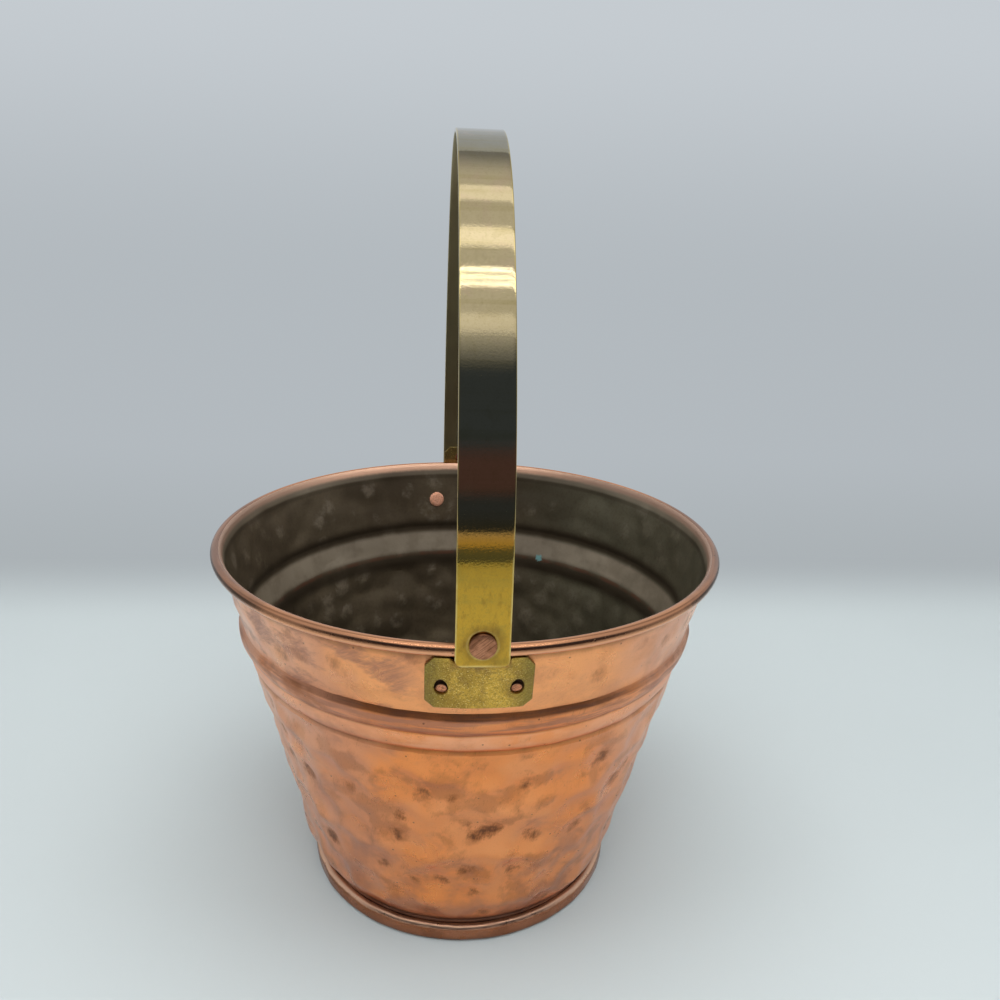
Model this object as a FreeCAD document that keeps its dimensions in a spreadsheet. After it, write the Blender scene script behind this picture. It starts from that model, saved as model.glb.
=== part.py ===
import FreeCAD, Part
import os
import re

import Sketcher

# Small hammered copper bucket with a riveted brass strap handle.
# The origin is the centre of the base on the floor, +Z is up and the handle's pivots lie along Y.
# The front ear is at -Y and the rear ear at +Y. All sizes are in millimetres, angles in degrees.

sizes = {
    # Copper shell
    "rim_radius": 102.0,          # outside of the wired rim
    "bucket_height": 151.0,       # floor to the top of the rim
    "sheet_thickness": 0.8,
    "wire_radius": 1.05,          # wire that stiffens the rolled rim
    "wire_clearance": 0.3,
    "roll_end_angle": 255.0,      # where the rolled edge stops, counted from outside over the top
    "bead_below_rim": 29.8,       # swaged double bead that stiffens the wall
    "ridge_height": 9.6,
    "upper_ridge_bulge": 1.8,     # each ridge off the chord between its two creases
    "lower_ridge_bulge": 0.7,
    "crease_height": 0.3,         # the crease between the ridges off the plain wall
    "shoulder_height": 24.0,      # where the wall starts to turn in above the seam
    "shoulder_flare": 3.44,       # the wall there stands this far outside the seam band
    "shoulder_bulge": 0.76,
    # Knocked-up seam that joins the wall to the base
    "foot_radius": 65.5,          # outside of the seam band
    "foot_height": 7.5,
    "throat_gap": 1.2,            # upright wall that shows above the band
    "fold_depth": 3.2,            # how far the base's edge is folded down behind the flange
    "seam_clearance": 0.05,
    "kick_height": 1.6,           # the base's middle is pushed up so that it rests on a ring
    "kick_radius": 50.0,
    "rest_radius": 55.0,
    # Brass ears
    "ear_width": 35.0,
    "ear_height": 19.0,           # height of the wide plate
    "ear_below_rim": 7.4,         # rim to the top of the wide plate
    "ear_thickness": 1.5,
    "ear_corner": 3.0,
    "joggle_start": 5.0,          # the tab bends outwards this far below the plate's top
    "joggle_height": 7.6,         # and stands upright again after this rise, clear of the rim
    "tab_width": 16.4,
    "tab_corner": 3.0,
    "tab_above_pivot": 5.2,
    "rim_clearance": 0.3,
    "seat_clearance": 0.03,
    # Rivets that hold the ears, flat heads inside the bucket
    "rivet_spacing": 24.2,
    "rivet_above_edge": 8.2,      # from the plate's lower edge
    "rivet_radius": 2.2,
    "rivet_recess": 0.5,          # the upset end lies this deep in the ear's hole
    "rivet_head_radius": 3.65,
    "rivet_head_thickness": 1.0,
    "rivet_head_seat": 0.1,       # a flat head on the hollow wall touches at its edge
    "rivet_fit": 0.03,
    # Pivot rivets
    "pivot_above_rim": 2.4,
    "pivot_radius": 2.0,
    "pivot_fit": 0.03,
    "pivot_running_fit": 0.08,
    "pivot_head_radius": 4.4,
    "pivot_head_thickness": 1.1,
    "pivot_head_edge": 0.3,
    "pivot_tail_radius": 2.4,
    "pivot_tail_height": 0.8,
    # Brass strap handle
    "strap_width": 17.0,
    "strap_thickness": 1.5,
    "strap_clearance": 0.2,
    "strap_below_pivot": 7.5,
    "strap_corner": 2.6,
    "strap_rise": 151.2,          # pivot to the outside of the crown
    "strap_straight": 7.3,        # straight length above the pivot
    "crown_radius": 82.0,         # inside of the crown arc
}

doc = FreeCAD.newDocument("copper_bucket")
sheet = doc.addObject("Spreadsheet::Sheet", "Sizes")
for row, (alias, value) in enumerate(sizes.items(), start=1):
    sheet.set(f"A{row}", alias)
    sheet.set(f"B{row}", str(value))
    sheet.setAlias(f"B{row}", alias)
doc.recompute()


# Formulas

def formula(text):
    """Point every size named in a formula at its cell."""
    return re.sub(r"\b[a-z]+(?:_[a-z]+)+\b", lambda found: "Sizes." + found.group(0), str(text))


def number(text):
    return float(sheet.evalExpression(formula(text)))


def bind(item, **properties):
    """Bind properties to formulas; a double underscore stands for the dot of a sub-property."""
    for path, text in properties.items():
        item.setExpression(path.replace("__", "."), formula(text))


def along(centre, radius, degrees):
    """The point of a circle at an angle."""
    return (f"{centre[0]} + ({radius}) * cos(({degrees}) * 1 deg)",
            f"{centre[1]} + ({radius}) * sin(({degrees}) * 1 deg)")


def off_chord(start, end, bulge):
    """The point that lies a bulge to the right of the middle of a chord."""
    run = f"(({end[0]}) - ({start[0]}))"
    rise = f"(({end[1]}) - ({start[1]}))"
    chord = f"sqrt({run}^2 + {rise}^2)"
    return (f"(({start[0]}) + ({end[0]})) / 2 + ({bulge}) * {rise} / {chord}",
            f"(({start[1]}) + ({end[1]})) / 2 - ({bulge}) * {run} / {chord}")


def sagitta(start, end, radius):
    chord_squared = f"((({end[0]}) - ({start[0]}))^2 + (({end[1]}) - ({start[1]}))^2)"
    return f"(({radius}) - sqrt(({radius})^2 - {chord_squared} / 4))"


# Sketches whose corners are formulas

def pin(sketch, geometry, position, corner):
    """Hold a vertex at the distances that its two formulas give from the sketch's origin."""
    for kind, axis, text in (("DistanceX", -2, corner[0]), ("DistanceY", -1, corner[1])):
        value = number(text)
        if abs(value) < 1e-9:
            sketch.addConstraint(Sketcher.Constraint("PointOnObject", geometry, position, axis))
        elif value > 0:
            index = sketch.addConstraint(Sketcher.Constraint(kind, -1, 1, geometry, position, value))
            sketch.setExpression(f"Constraints[{index}]", formula(text))
        else:
            index = sketch.addConstraint(Sketcher.Constraint(kind, geometry, position, -1, 1, -value))
            sketch.setExpression(f"Constraints[{index}]", formula(f"-({text})"))


def draw(name, placement, corners, closed):
    """Lines and arcs from corner to corner; a corner's third entry is a point on the arc that follows it."""
    sketch = doc.addObject("Sketcher::SketchObject", name)
    sketch.Placement = placement
    spots = [FreeCAD.Vector(number(corner[0]), number(corner[1]), 0) for corner in corners]
    count = len(corners) if closed else len(corners) - 1
    ends = []
    for index in range(count):
        start, end = spots[index], spots[(index + 1) % len(corners)]
        if len(corners[index]) == 2:
            edge = sketch.addGeometry(Part.LineSegment(start, end), False)
            ends.append((edge, 1, 2))
            continue
        bow = corners[index][2]
        middle = FreeCAD.Vector(number(bow[0]), number(bow[1]), 0)
        edge = sketch.addGeometry(Part.Arc(start, middle, end), False)
        clockwise = (middle - start).cross(end - start).z < 0
        ends.append((edge, 2, 1) if clockwise else (edge, 1, 2))
        mark = sketch.addGeometry(Part.Point(middle), True)
        sketch.addConstraint(Sketcher.Constraint("PointOnObject", mark, 1, edge))
        pin(sketch, mark, 1, bow)
    for index, (edge, first, last) in enumerate(ends):
        pin(sketch, edge, first, corners[index])
        if index + 1 < count or closed:
            follower = ends[(index + 1) % count]
            sketch.addConstraint(Sketcher.Constraint("Coincident", edge, last, follower[0], follower[1]))
        else:
            pin(sketch, edge, last, corners[-1])
    return sketch


UPRIGHT = FreeCAD.Rotation(FreeCAD.Vector(1, 0, 0), 90)
SECTION = FreeCAD.Placement(FreeCAD.Vector(), UPRIGHT)


def turned(azimuth):
    """A turn about the bucket's axis."""
    return FreeCAD.Placement(FreeCAD.Vector(), FreeCAD.Rotation(FreeCAD.Vector(0, 0, 1), azimuth))


# Solids

def sheet_section(name, path, thickness):
    """The cut face of a bent sheet: a path along one face, thickened to its left."""
    face = doc.addObject("Part::Offset2D", name)
    face.Source = draw(name + "_path", SECTION, path, closed=False)
    face.Mode = "Skin"
    face.Join = "Intersection"
    face.Fill = True
    bind(face, Value=thickness)
    return face


def revolve(name, source, degrees=360, base_height="0", axis=FreeCAD.Vector(0, 0, 1)):
    solid = doc.addObject("Part::Revolution", name)
    solid.Source = source
    solid.Axis = axis
    solid.Angle = degrees
    solid.Symmetric = degrees < 360
    solid.Solid = True
    bind(solid, Base__z=base_height)
    return solid


def extrude(name, source, direction, forward, backward="0"):
    solid = doc.addObject("Part::Extrusion", name)
    solid.Base = source
    solid.DirMode = "Custom"
    solid.Dir = direction
    solid.Solid = True
    bind(solid, LengthFwd=forward, LengthRev=backward)
    return solid


def common(name, *shapes):
    solid = doc.addObject("Part::MultiCommon", name)
    solid.Shapes = list(shapes)
    return solid


def cut(name, base, *tools):
    tool = tools[0]
    if len(tools) > 1:
        tool = doc.addObject("Part::Compound", name + "_bores")
        tool.Links = list(tools)
    solid = doc.addObject("Part::Cut", name)
    solid.Base = base
    solid.Tool = tool
    return solid


def label(item, name):
    item.Label = name
    nodes.append(item)
    return item


nodes = []

# Shared lines of the shell: the roll's centre, the wall's outer face and the seam's layers

ROLL_INSIDE = "(wire_radius + wire_clearance)"
ROLL_RADIUS = "(wire_radius + wire_clearance + sheet_thickness)"
ROLL = (f"(rim_radius - {ROLL_RADIUS})", f"(bucket_height - {ROLL_RADIUS})")
SHOULDER = ("(foot_radius + shoulder_flare)", "shoulder_height")
SPREAD = f"({ROLL[0]} - {SHOULDER[0]})"
RISE = f"({ROLL[1]} - {SHOULDER[1]})"
LEAN_ANGLE = f"(atan({SPREAD} / {RISE}) - asin({ROLL_INSIDE} / sqrt({SPREAD}^2 + {RISE}^2)))"


def wall(height, out="0"):
    """A point of the wall's outer face, which runs from the shoulder to touch the roll, moved outwards."""
    radius = f"({SHOULDER[0]} + tan({LEAN_ANGLE}) * (({height}) - {SHOULDER[1]}) + ({out}))"
    return (radius, f"({height})")


BEAD_TOP = "(bucket_height - bead_below_rim)"
EAR_SHOULDER = "(bucket_height - ear_below_rim)"
EAR_BOTTOM = f"({EAR_SHOULDER} - ear_height)"
RIVET_HEIGHT = f"({EAR_BOTTOM} + rivet_above_edge)"
PIVOT_HEIGHT = "(bucket_height + pivot_above_rim)"


THROAT = "(foot_radius - 3 * sheet_thickness - 3 * seam_clearance)"
FOLD_GAP = "(sheet_thickness + 2 * seam_clearance)"
FLANGE_INSIDE = f"({THROAT} + {FOLD_GAP})"
SEAM_TURN = f"({THROAT} + {FOLD_GAP} / 2)"
LOW_TURN = f"(2 * sheet_thickness + seam_clearance + {FOLD_GAP} / 2)"
HIGH_TURN = f"(foot_height - sheet_thickness - {FOLD_GAP} / 2)"


def rivet_hole(name, azimuth, side, radius, start, length):
    """A cylinder square to the wall where a rivet holds an ear; side is -1 or 1 along the rim."""
    bore = doc.addObject("Part::Cylinder", name)
    bind(bore, Radius=radius, Height=length)
    seat_on_wall(bore, azimuth, side, start)
    return bore


def seat_on_wall(item, azimuth, side, start):
    """Turn an item's own Z square to the wall at a rivet, its origin a start outside the inner face."""
    spot = wall(RIVET_HEIGHT)
    depth = f"(({start}) - sheet_thickness)"
    radius = f"({spot[0]} + {depth} * cos({LEAN_ANGLE}))"
    swing = f"({azimuth} deg + {side} * asin(rivet_spacing / 2 / {spot[0]}))"
    height = f"{RIVET_HEIGHT} - {depth} * sin({LEAN_ANGLE})"
    place = (f"{radius} * cos({swing})", f"{radius} * sin({swing})", height)
    turn = f"rotation({swing}; 90 deg + {LEAN_ANGLE}; 0 deg)"
    bind(item, Placement=f"placement(vector({'; '.join(place)}); {turn})")


def pivot_bore(name, radius):
    """A cylinder along the pivot axis that reaches through both ears."""
    bore = doc.addObject("Part::Cylinder", name)
    bore.Placement.Rotation = FreeCAD.Rotation(FreeCAD.Vector(1, 0, 0), -90)
    bind(bore, Radius=radius, Height="4 * rim_radius",
         Placement__Base__y="-2 * rim_radius", Placement__Base__z=PIVOT_HEIGHT)
    return bore


ears = (("front", 270), ("rear", 90))
sides = (("left", -1), ("right", 1))
bores = {
    (ear, side): rivet_hole(f"{ear}_{side}_bore", azimuth, sign, "rivet_radius + rivet_fit",
                            "-2 * sheet_thickness", "4 * sheet_thickness + 2 * ear_thickness")
    for ear, azimuth in ears
    for side, sign in sides
}

# Copper shell: flange of the seam, throat, shoulder, double bead and the roll round the wire

ridge_head = wall(BEAD_TOP)
crease = wall(f"{BEAD_TOP} - ridge_height", "crease_height")
ridge_foot = wall(f"{BEAD_TOP} - 2 * ridge_height")
throat_top = (THROAT, "(foot_height + throat_gap)")
roll_start = f"180 - {LEAN_ANGLE} / 1 deg"
shell_path = [
    (FLANGE_INSIDE, f"({HIGH_TURN} - seam_clearance)"),
    (FLANGE_INSIDE, LOW_TURN, along((SEAM_TURN, LOW_TURN), f"{FOLD_GAP} / 2", 270)),
    (THROAT, LOW_TURN),
    (*throat_top, off_chord(throat_top, SHOULDER, "shoulder_bulge")),
    SHOULDER,
    (*ridge_foot, off_chord(ridge_foot, crease, "lower_ridge_bulge")),
    (*crease, off_chord(crease, ridge_head, "upper_ridge_bulge")),
    ridge_head,
    (*along(ROLL, ROLL_INSIDE, roll_start), along(ROLL, ROLL_INSIDE, 30)),
    along(ROLL, ROLL_INSIDE, "-(roll_end_angle - 150)"),
]
shell_face = sheet_section("shell_section", shell_path, "sheet_thickness")
label(cut("bucket_body", revolve("shell", shell_face), *bores.values()), "bucket_body")

rim_wire = label(doc.addObject("Part::Torus", "rim_wire"), "rim_wire")
bind(rim_wire, Radius1=ROLL[0], Radius2="wire_radius", Placement__Base__z=ROLL[1])

# Base: a disc kicked up in the middle, turned up round the flange and folded down behind it

LEG = f"({SEAM_TURN} + {FOLD_GAP} / 2 + sheet_thickness + seam_clearance)"
FOLD = f"({THROAT} + seam_clearance + sheet_thickness)"
FOLD_MIDDLE = f"(({LEG} + {FOLD}) / 2)"
pan_turn = (SEAM_TURN, LOW_TURN)
PAN_RADIUS = f"({LEG} - {SEAM_TURN})"
pan_path = [
    ("0", "kick_height + sheet_thickness"),
    ("kick_radius", "kick_height + sheet_thickness"),
    ("rest_radius", "sheet_thickness"),
    (SEAM_TURN, "sheet_thickness", along(pan_turn, PAN_RADIUS, 315)),
    (LEG, LOW_TURN),
    (LEG, HIGH_TURN, along((FOLD_MIDDLE, HIGH_TURN), f"({LEG} - {FOLD}) / 2", 90)),
    (FOLD, HIGH_TURN),
    (FOLD, f"({HIGH_TURN} - fold_depth)"),
]
pan_face = sheet_section("pan_section", pan_path, "-sheet_thickness")
label(revolve("base_pan", pan_face), "base_pan")

# Ears: a joggled strip wrapped round the wall and trimmed to a plate with a tab

TAB_INSIDE = "(rim_radius + rim_clearance)"
TAB_OUTSIDE = f"({TAB_INSIDE} + ear_thickness)"
TAB_TOP = f"({PIVOT_HEIGHT} + tab_above_pivot)"
JOGGLE_BOTTOM = f"({EAR_SHOULDER} - joggle_start)"
ear_path = [
    wall(f"{EAR_BOTTOM} - ear_corner", "seat_clearance"),
    wall(JOGGLE_BOTTOM, "seat_clearance"),
    (TAB_INSIDE, f"({JOGGLE_BOTTOM} + joggle_height)"),
    (TAB_INSIDE, f"({TAB_TOP} + ear_corner)"),
]
half_outline = [
    ("(ear_width / 2 - ear_corner)", EAR_BOTTOM),
    ("(ear_width / 2)", f"({EAR_BOTTOM} + ear_corner)"),
    ("(ear_width / 2)", f"({EAR_SHOULDER} - ear_corner)"),
    ("(ear_width / 2 - ear_corner)", EAR_SHOULDER),
    ("(tab_width / 2)", EAR_SHOULDER),
    ("(tab_width / 2)", f"({TAB_TOP} - tab_corner)"),
    ("(tab_width / 2 - tab_corner)", TAB_TOP),
]
ear_outline = half_outline + [(f"(-{across})", up) for across, up in reversed(half_outline)]
EAR_SWEEP = 40
pin_bore = pivot_bore("pin_bore", "pivot_radius + pivot_fit")
for ear, azimuth in ears:
    strip_face = sheet_section(f"{ear}_ear_section", ear_path, "-ear_thickness")
    strip = revolve(f"{ear}_ear_strip", strip_face, EAR_SWEEP)
    strip.Placement = turned(azimuth)
    outline = draw(f"{ear}_ear_outline", SECTION, ear_outline, closed=True)
    outward = FreeCAD.Vector(0, -1 if azimuth > 180 else 1, 0)
    blank = common(f"{ear}_ear_blank", strip, extrude(f"{ear}_ear_prism", outline, outward, "2 * rim_radius"))
    holes = [bores[ear, side] for side, sign in sides]
    label(cut(f"{ear}_ear", blank, pin_bore, *holes), f"{ear}_ear")

# Ear rivets: a flat head inside the bucket and an upset end sunk in the ear's hole

rivet_end = "(sheet_thickness + seat_clearance + ear_thickness - rivet_recess)"
rivet_profile = [
    ("0", "(-rivet_head_seat - rivet_head_thickness)"),
    ("rivet_head_radius", "(-rivet_head_seat - rivet_head_thickness)"),
    ("rivet_head_radius", "(-rivet_head_seat)"),
    ("rivet_radius", "(-rivet_head_seat)"),
    ("rivet_radius", rivet_end),
    ("0", rivet_end),
]
for ear, azimuth in ears:
    for side, sign in sides:
        name = f"{ear}_ear_rivet_{side}"
        rivet = revolve(name, draw(name + "_profile", SECTION, rivet_profile, closed=True))
        seat_on_wall(rivet, azimuth, sign, "0")
        label(rivet, name)

# Pivot rivets: a flat head outside, a running shank through the strap and a domed tail inside the tab

STRAP_INSIDE = f"({TAB_OUTSIDE} + strap_clearance)"
STRAP_OUTSIDE = f"({STRAP_INSIDE} + strap_thickness)"
HEAD_SEAT = f"({STRAP_OUTSIDE} + strap_clearance)"
HEAD_TOP = f"({HEAD_SEAT} + pivot_head_thickness)"
TAIL_SEAT = f"({TAB_INSIDE} - rivet_head_seat)"


def above_pivot(radius):
    return f"({PIVOT_HEIGHT} + {radius})"


tail_tip = (f"({TAIL_SEAT} - pivot_tail_height)", PIVOT_HEIGHT)
tail_edge = (TAIL_SEAT, above_pivot("pivot_tail_radius"))
pivot_profile = [
    (*tail_tip, off_chord(tail_tip, tail_edge, "-pivot_tail_height / 3")),
    tail_edge,
    (TAIL_SEAT, above_pivot("pivot_radius")),
    (HEAD_SEAT, above_pivot("pivot_radius")),
    (HEAD_SEAT, above_pivot("pivot_head_radius")),
    (f"({HEAD_TOP} - pivot_head_edge)", above_pivot("pivot_head_radius")),
    (HEAD_TOP, above_pivot("(pivot_head_radius - pivot_head_edge)")),
    (HEAD_TOP, PIVOT_HEIGHT),
]
for ear, azimuth in ears:
    name = f"{ear}_pivot_rivet"
    profile = draw(name + "_profile", SECTION, pivot_profile, closed=True)
    rivet = revolve(name, profile, base_height=PIVOT_HEIGHT, axis=FreeCAD.Vector(1, 0, 0))
    rivet.Placement = turned(azimuth)
    label(rivet, name)

# Handle: a flat strap bent to a three-centred arch, with rounded ends that turn on the pivot rivets

SPRING = f"({PIVOT_HEIGHT} + strap_straight)"
ARCH_RISE = "(strap_rise - strap_thickness - strap_straight)"
CROWN_CENTRE = f"({ARCH_RISE} - crown_radius)"
FLANK_RADIUS = (f"(({STRAP_INSIDE}^2 + {CROWN_CENTRE}^2 - crown_radius^2)"
                f" / (2 * ({STRAP_INSIDE} - crown_radius)))")
FLANK_SHARE = f"({FLANK_RADIUS} / ({FLANK_RADIUS} - crown_radius))"
strap_end = f"({PIVOT_HEIGHT} - strap_below_pivot)"
springing = (STRAP_INSIDE, SPRING)
joint = (f"({STRAP_INSIDE} - {FLANK_RADIUS} + {FLANK_SHARE} * ({FLANK_RADIUS} - {STRAP_INSIDE}))",
         f"({SPRING} + {FLANK_SHARE} * {CROWN_CENTRE})")
flank = off_chord(springing, joint, sagitta(springing, joint, FLANK_RADIUS))


def mirrored(point):
    return (f"(-({point[0]}))", point[1])


strap_path = [
    (STRAP_INSIDE, f"({strap_end} - strap_corner)"),
    (*springing, flank),
    (*joint, ("0", f"({SPRING} + {ARCH_RISE})")),
    (*mirrored(joint), mirrored(flank)),
    mirrored(springing),
    mirrored((STRAP_INSIDE, f"({strap_end} - strap_corner)")),
]
HALF_STRAP = "(strap_width / 2)"
PRISM_TOP = f"({PIVOT_HEIGHT} + strap_rise + strap_corner)"
CORNER = ("(strap_width / 2 - strap_corner)", f"({strap_end} + strap_corner)")
strap_outline = [
    (HALF_STRAP, PRISM_TOP),
    mirrored((HALF_STRAP, PRISM_TOP)),
    (*mirrored((HALF_STRAP, CORNER[1])), mirrored(along(CORNER, "strap_corner", 315))),
    mirrored((CORNER[0], strap_end)),
    (CORNER[0], strap_end, along(CORNER, "strap_corner", 315)),
    (HALF_STRAP, CORNER[1]),
]
strap_face = sheet_section("strap_section", strap_path, "-strap_thickness")
arch = extrude("strap_arch", strap_face, FreeCAD.Vector(0, 1, 0), "strap_width", "strap_width")
arch.Placement = turned(90)
strap_prism = extrude("strap_prism", draw("strap_outline", SECTION, strap_outline, closed=True),
                      FreeCAD.Vector(0, 1, 0), "2 * rim_radius", "2 * rim_radius")
strap = common("strap_blank", arch, strap_prism)
running_bore = pivot_bore("running_bore", "pivot_radius + pivot_running_fit")
label(cut("handle_strap", strap, running_bore), "handle_strap")

# Check every feature, then write each piece

doc.recompute()
for item in doc.Objects:
    if "Invalid" in item.State or "Error" in item.State:
        raise RuntimeError(f"{item.Name} failed to build: {item.State}")
for item in nodes:
    shape = item.Shape
    if shape.isNull() or not shape.isValid() or len(shape.Solids) != 1:
        raise RuntimeError(f"{item.Label} is not one valid solid: {len(shape.Solids)}")

os.makedirs("parts", exist_ok=True)
for item in nodes:
    solid = item.Shape.Solids[0]
    solid.exportStep(f"parts/{item.Label}.step")
    print(f"{item.Label}: {solid.Volume:.1f} mm3")
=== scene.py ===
import bmesh
import bpy
import math
import numpy as np
from mathutils import Matrix, Vector


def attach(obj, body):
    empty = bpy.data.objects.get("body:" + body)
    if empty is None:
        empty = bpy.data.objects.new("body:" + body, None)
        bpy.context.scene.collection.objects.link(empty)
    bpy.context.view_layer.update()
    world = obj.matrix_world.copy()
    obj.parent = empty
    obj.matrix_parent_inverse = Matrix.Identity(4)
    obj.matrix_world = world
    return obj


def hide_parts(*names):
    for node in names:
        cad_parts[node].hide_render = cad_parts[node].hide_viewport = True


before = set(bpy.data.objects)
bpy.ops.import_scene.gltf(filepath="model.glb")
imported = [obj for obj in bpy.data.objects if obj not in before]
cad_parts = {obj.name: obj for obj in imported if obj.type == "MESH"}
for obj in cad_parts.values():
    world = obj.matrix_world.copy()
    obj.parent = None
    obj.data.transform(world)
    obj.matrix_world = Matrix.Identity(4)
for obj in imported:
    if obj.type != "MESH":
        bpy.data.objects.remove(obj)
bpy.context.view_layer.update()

mm = 0.001
wallSlope, wallAtFloor = 0.2365, 63.26  # the wall's outside, as radius over height in mm
scene = bpy.context.scene
scene.view_settings.view_transform = "Standard"


# small helpers for nodes

def put(tree, kind, **settings):
    node = tree.nodes.new(kind)
    for key, value in settings.items():
        setattr(node, key, value)
    return node


def feed(tree, socket, value):
    if isinstance(value, bpy.types.NodeSocket):
        tree.links.new(value, socket)
    else:
        socket.default_value = value


def fill(tree, kind, values, **settings):
    # a new node with some of its inputs set or linked
    node = put(tree, kind, **settings)
    for label, value in values.items():
        feed(tree, node.inputs[label], value)
    return node.outputs


def calc(tree, operation, first, second=0.0, clamp=False):
    return fill(tree, "ShaderNodeMath", {0: first, 1: second}, operation=operation, use_clamp=clamp)[0]


def times(tree, first, *others):
    for other in others:
        first = calc(tree, "MULTIPLY", first, other)
    return first


def plus(tree, first, *others):
    for other in others:
        first = calc(tree, "ADD", first, other)
    return first


def minus(tree, first, second):
    return calc(tree, "SUBTRACT", first, second)


def absolute(tree, value):
    return calc(tree, "ABSOLUTE", value)


def aboutZero(tree, noise, amount):
    return times(tree, minus(tree, noise, 0.5), amount)


def vectorCalc(tree, operation, first, second=None):
    values = {0: first}
    if second is not None:
        values["Scale" if operation == "SCALE" else 1] = second
    return fill(tree, "ShaderNodeVectorMath", values, operation=operation)["Vector"]


def distanceTo(tree, vector, spot):
    return fill(tree, "ShaderNodeVectorMath", {0: vector, 1: spot}, operation="DISTANCE")["Value"]


def split(tree, vector):
    return fill(tree, "ShaderNodeSeparateXYZ", {0: vector})


def noiseAt(tree, vector, size, detail, roughness, distortion=0.0):  # size in mm
    values = {"Vector": vector, "Scale": 1.0 / (size * mm), "Detail": detail, "Roughness": roughness}
    return fill(tree, "ShaderNodeTexNoise", {**values, "Distortion": distortion})[0]


def cellsAt(tree, vector, size):  # size in mm
    return fill(tree, "ShaderNodeTexVoronoi", {"Vector": vector, "Scale": 1.0 / (size * mm)})["Distance"]


def step(tree, value, low, high, start=0.0, end=1.0):
    values = {0: value, 1: low, 2: high, 3: start, 4: end}
    return fill(tree, "ShaderNodeMapRange", values, interpolation_type="SMOOTHSTEP")[0]


def between(tree, value, low, full, fade, high):
    return times(tree, step(tree, value, low, full), step(tree, value, high, fade))


def blend(tree, amount, first, second):
    first, second = (c if isinstance(c, bpy.types.NodeSocket) else (*c, 1.0) for c in (first, second))
    return fill(tree, "ShaderNodeMix", {0: amount, 6: first, 7: second}, data_type="RGBA")[2]


def coated(tree, colour, look, coats):
    # one shade after another over the colour, each where its masks and weights let it
    for shade, *masks in coats:
        shade = look[shade] if isinstance(shade, str) else shade
        colour = blend(tree, times(tree, *masks), colour, shade)
    return colour


def stretched(tree, vector, scale):
    return fill(tree, "ShaderNodeMapping", {"Vector": vector, "Scale": scale})["Vector"]


def turned(tree, vector, angles):
    angles = [math.radians(a) for a in angles]
    return fill(tree, "ShaderNodeMapping", {"Vector": vector, "Rotation": angles})["Vector"]


def attribute(tree, name, output="Fac"):
    return put(tree, "ShaderNodeAttribute", attribute_name=name).outputs[output]


def bumpFrom(tree, height, distance, normal=None):
    values = {"Height": height, "Distance": distance * mm, "Strength": 1.0}
    if normal is not None:
        values["Normal"] = normal
    return fill(tree, "ShaderNodeBump", values)["Normal"]


def finish(name, metallic):
    material = bpy.data.materials.new(name)
    material.use_nodes = True
    tree = material.node_tree
    tree.nodes.clear()
    shader = put(tree, "ShaderNodeBsdfPrincipled")
    feed(tree, shader.inputs["Metallic"], metallic)
    fill(tree, "ShaderNodeOutputMaterial", {0: shader.outputs[0]})
    place = put(tree, "ShaderNodeTexCoord").outputs["Object"]
    return material, tree, shader, place, split(tree, place)


def cover(tree, shader, colour, roughness, normal):
    for label, value in (("Base Color", colour), ("Roughness", roughness), ("Normal", normal)):
        feed(tree, shader.inputs[label], value)


# copper of the hammered wall; the places and heights in these looks are in metres

copperLook = {
    "bright": (0.93, 0.320, 0.102), "peach": (0.92, 0.358, 0.142), "satin": (0.99, 0.420, 0.172),
    "ridge": (0.97, 0.445, 0.245), "flankSheen": (0.98, 0.57, 0.385), "pink": (0.66, 0.30, 0.20),
    "brown": (0.40, 0.138, 0.050), "mauve": (0.40, 0.180, 0.125), "tarnish": (0.150, 0.060, 0.033),
    "dirtAndShade": (0.085, 0.042, 0.022), "shadeColour": (0.24, 0.165, 0.135),
    "roll": (0.86, 0.40, 0.21), "rollDull": (0.39, 0.205, 0.135), "roughness": 0.27,
    "neckFrom": (0.1205, 0.1215), "ridgeBand": (0.1105, 0.1125, 0.1200, 0.1212),
    "lowerBand": (0.1044, 0.1054, 0.1104, 0.1116), "rollFrom": (0.1456, 0.1464),
    "veilFrom": (0.026, 0.074), "veilLeft": (-0.004, -0.055), "hazeBelow": (0.062, 0.012),
    "flankSheenFrom": (0.040, 0.080), "smudgeLeft": (-0.018, -0.028),
    "dullFrom": (0.066, 0.086), "dullBefore": (0.065, 0.02), "throatBelow": (0.0125, 0.0095),
}


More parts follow.
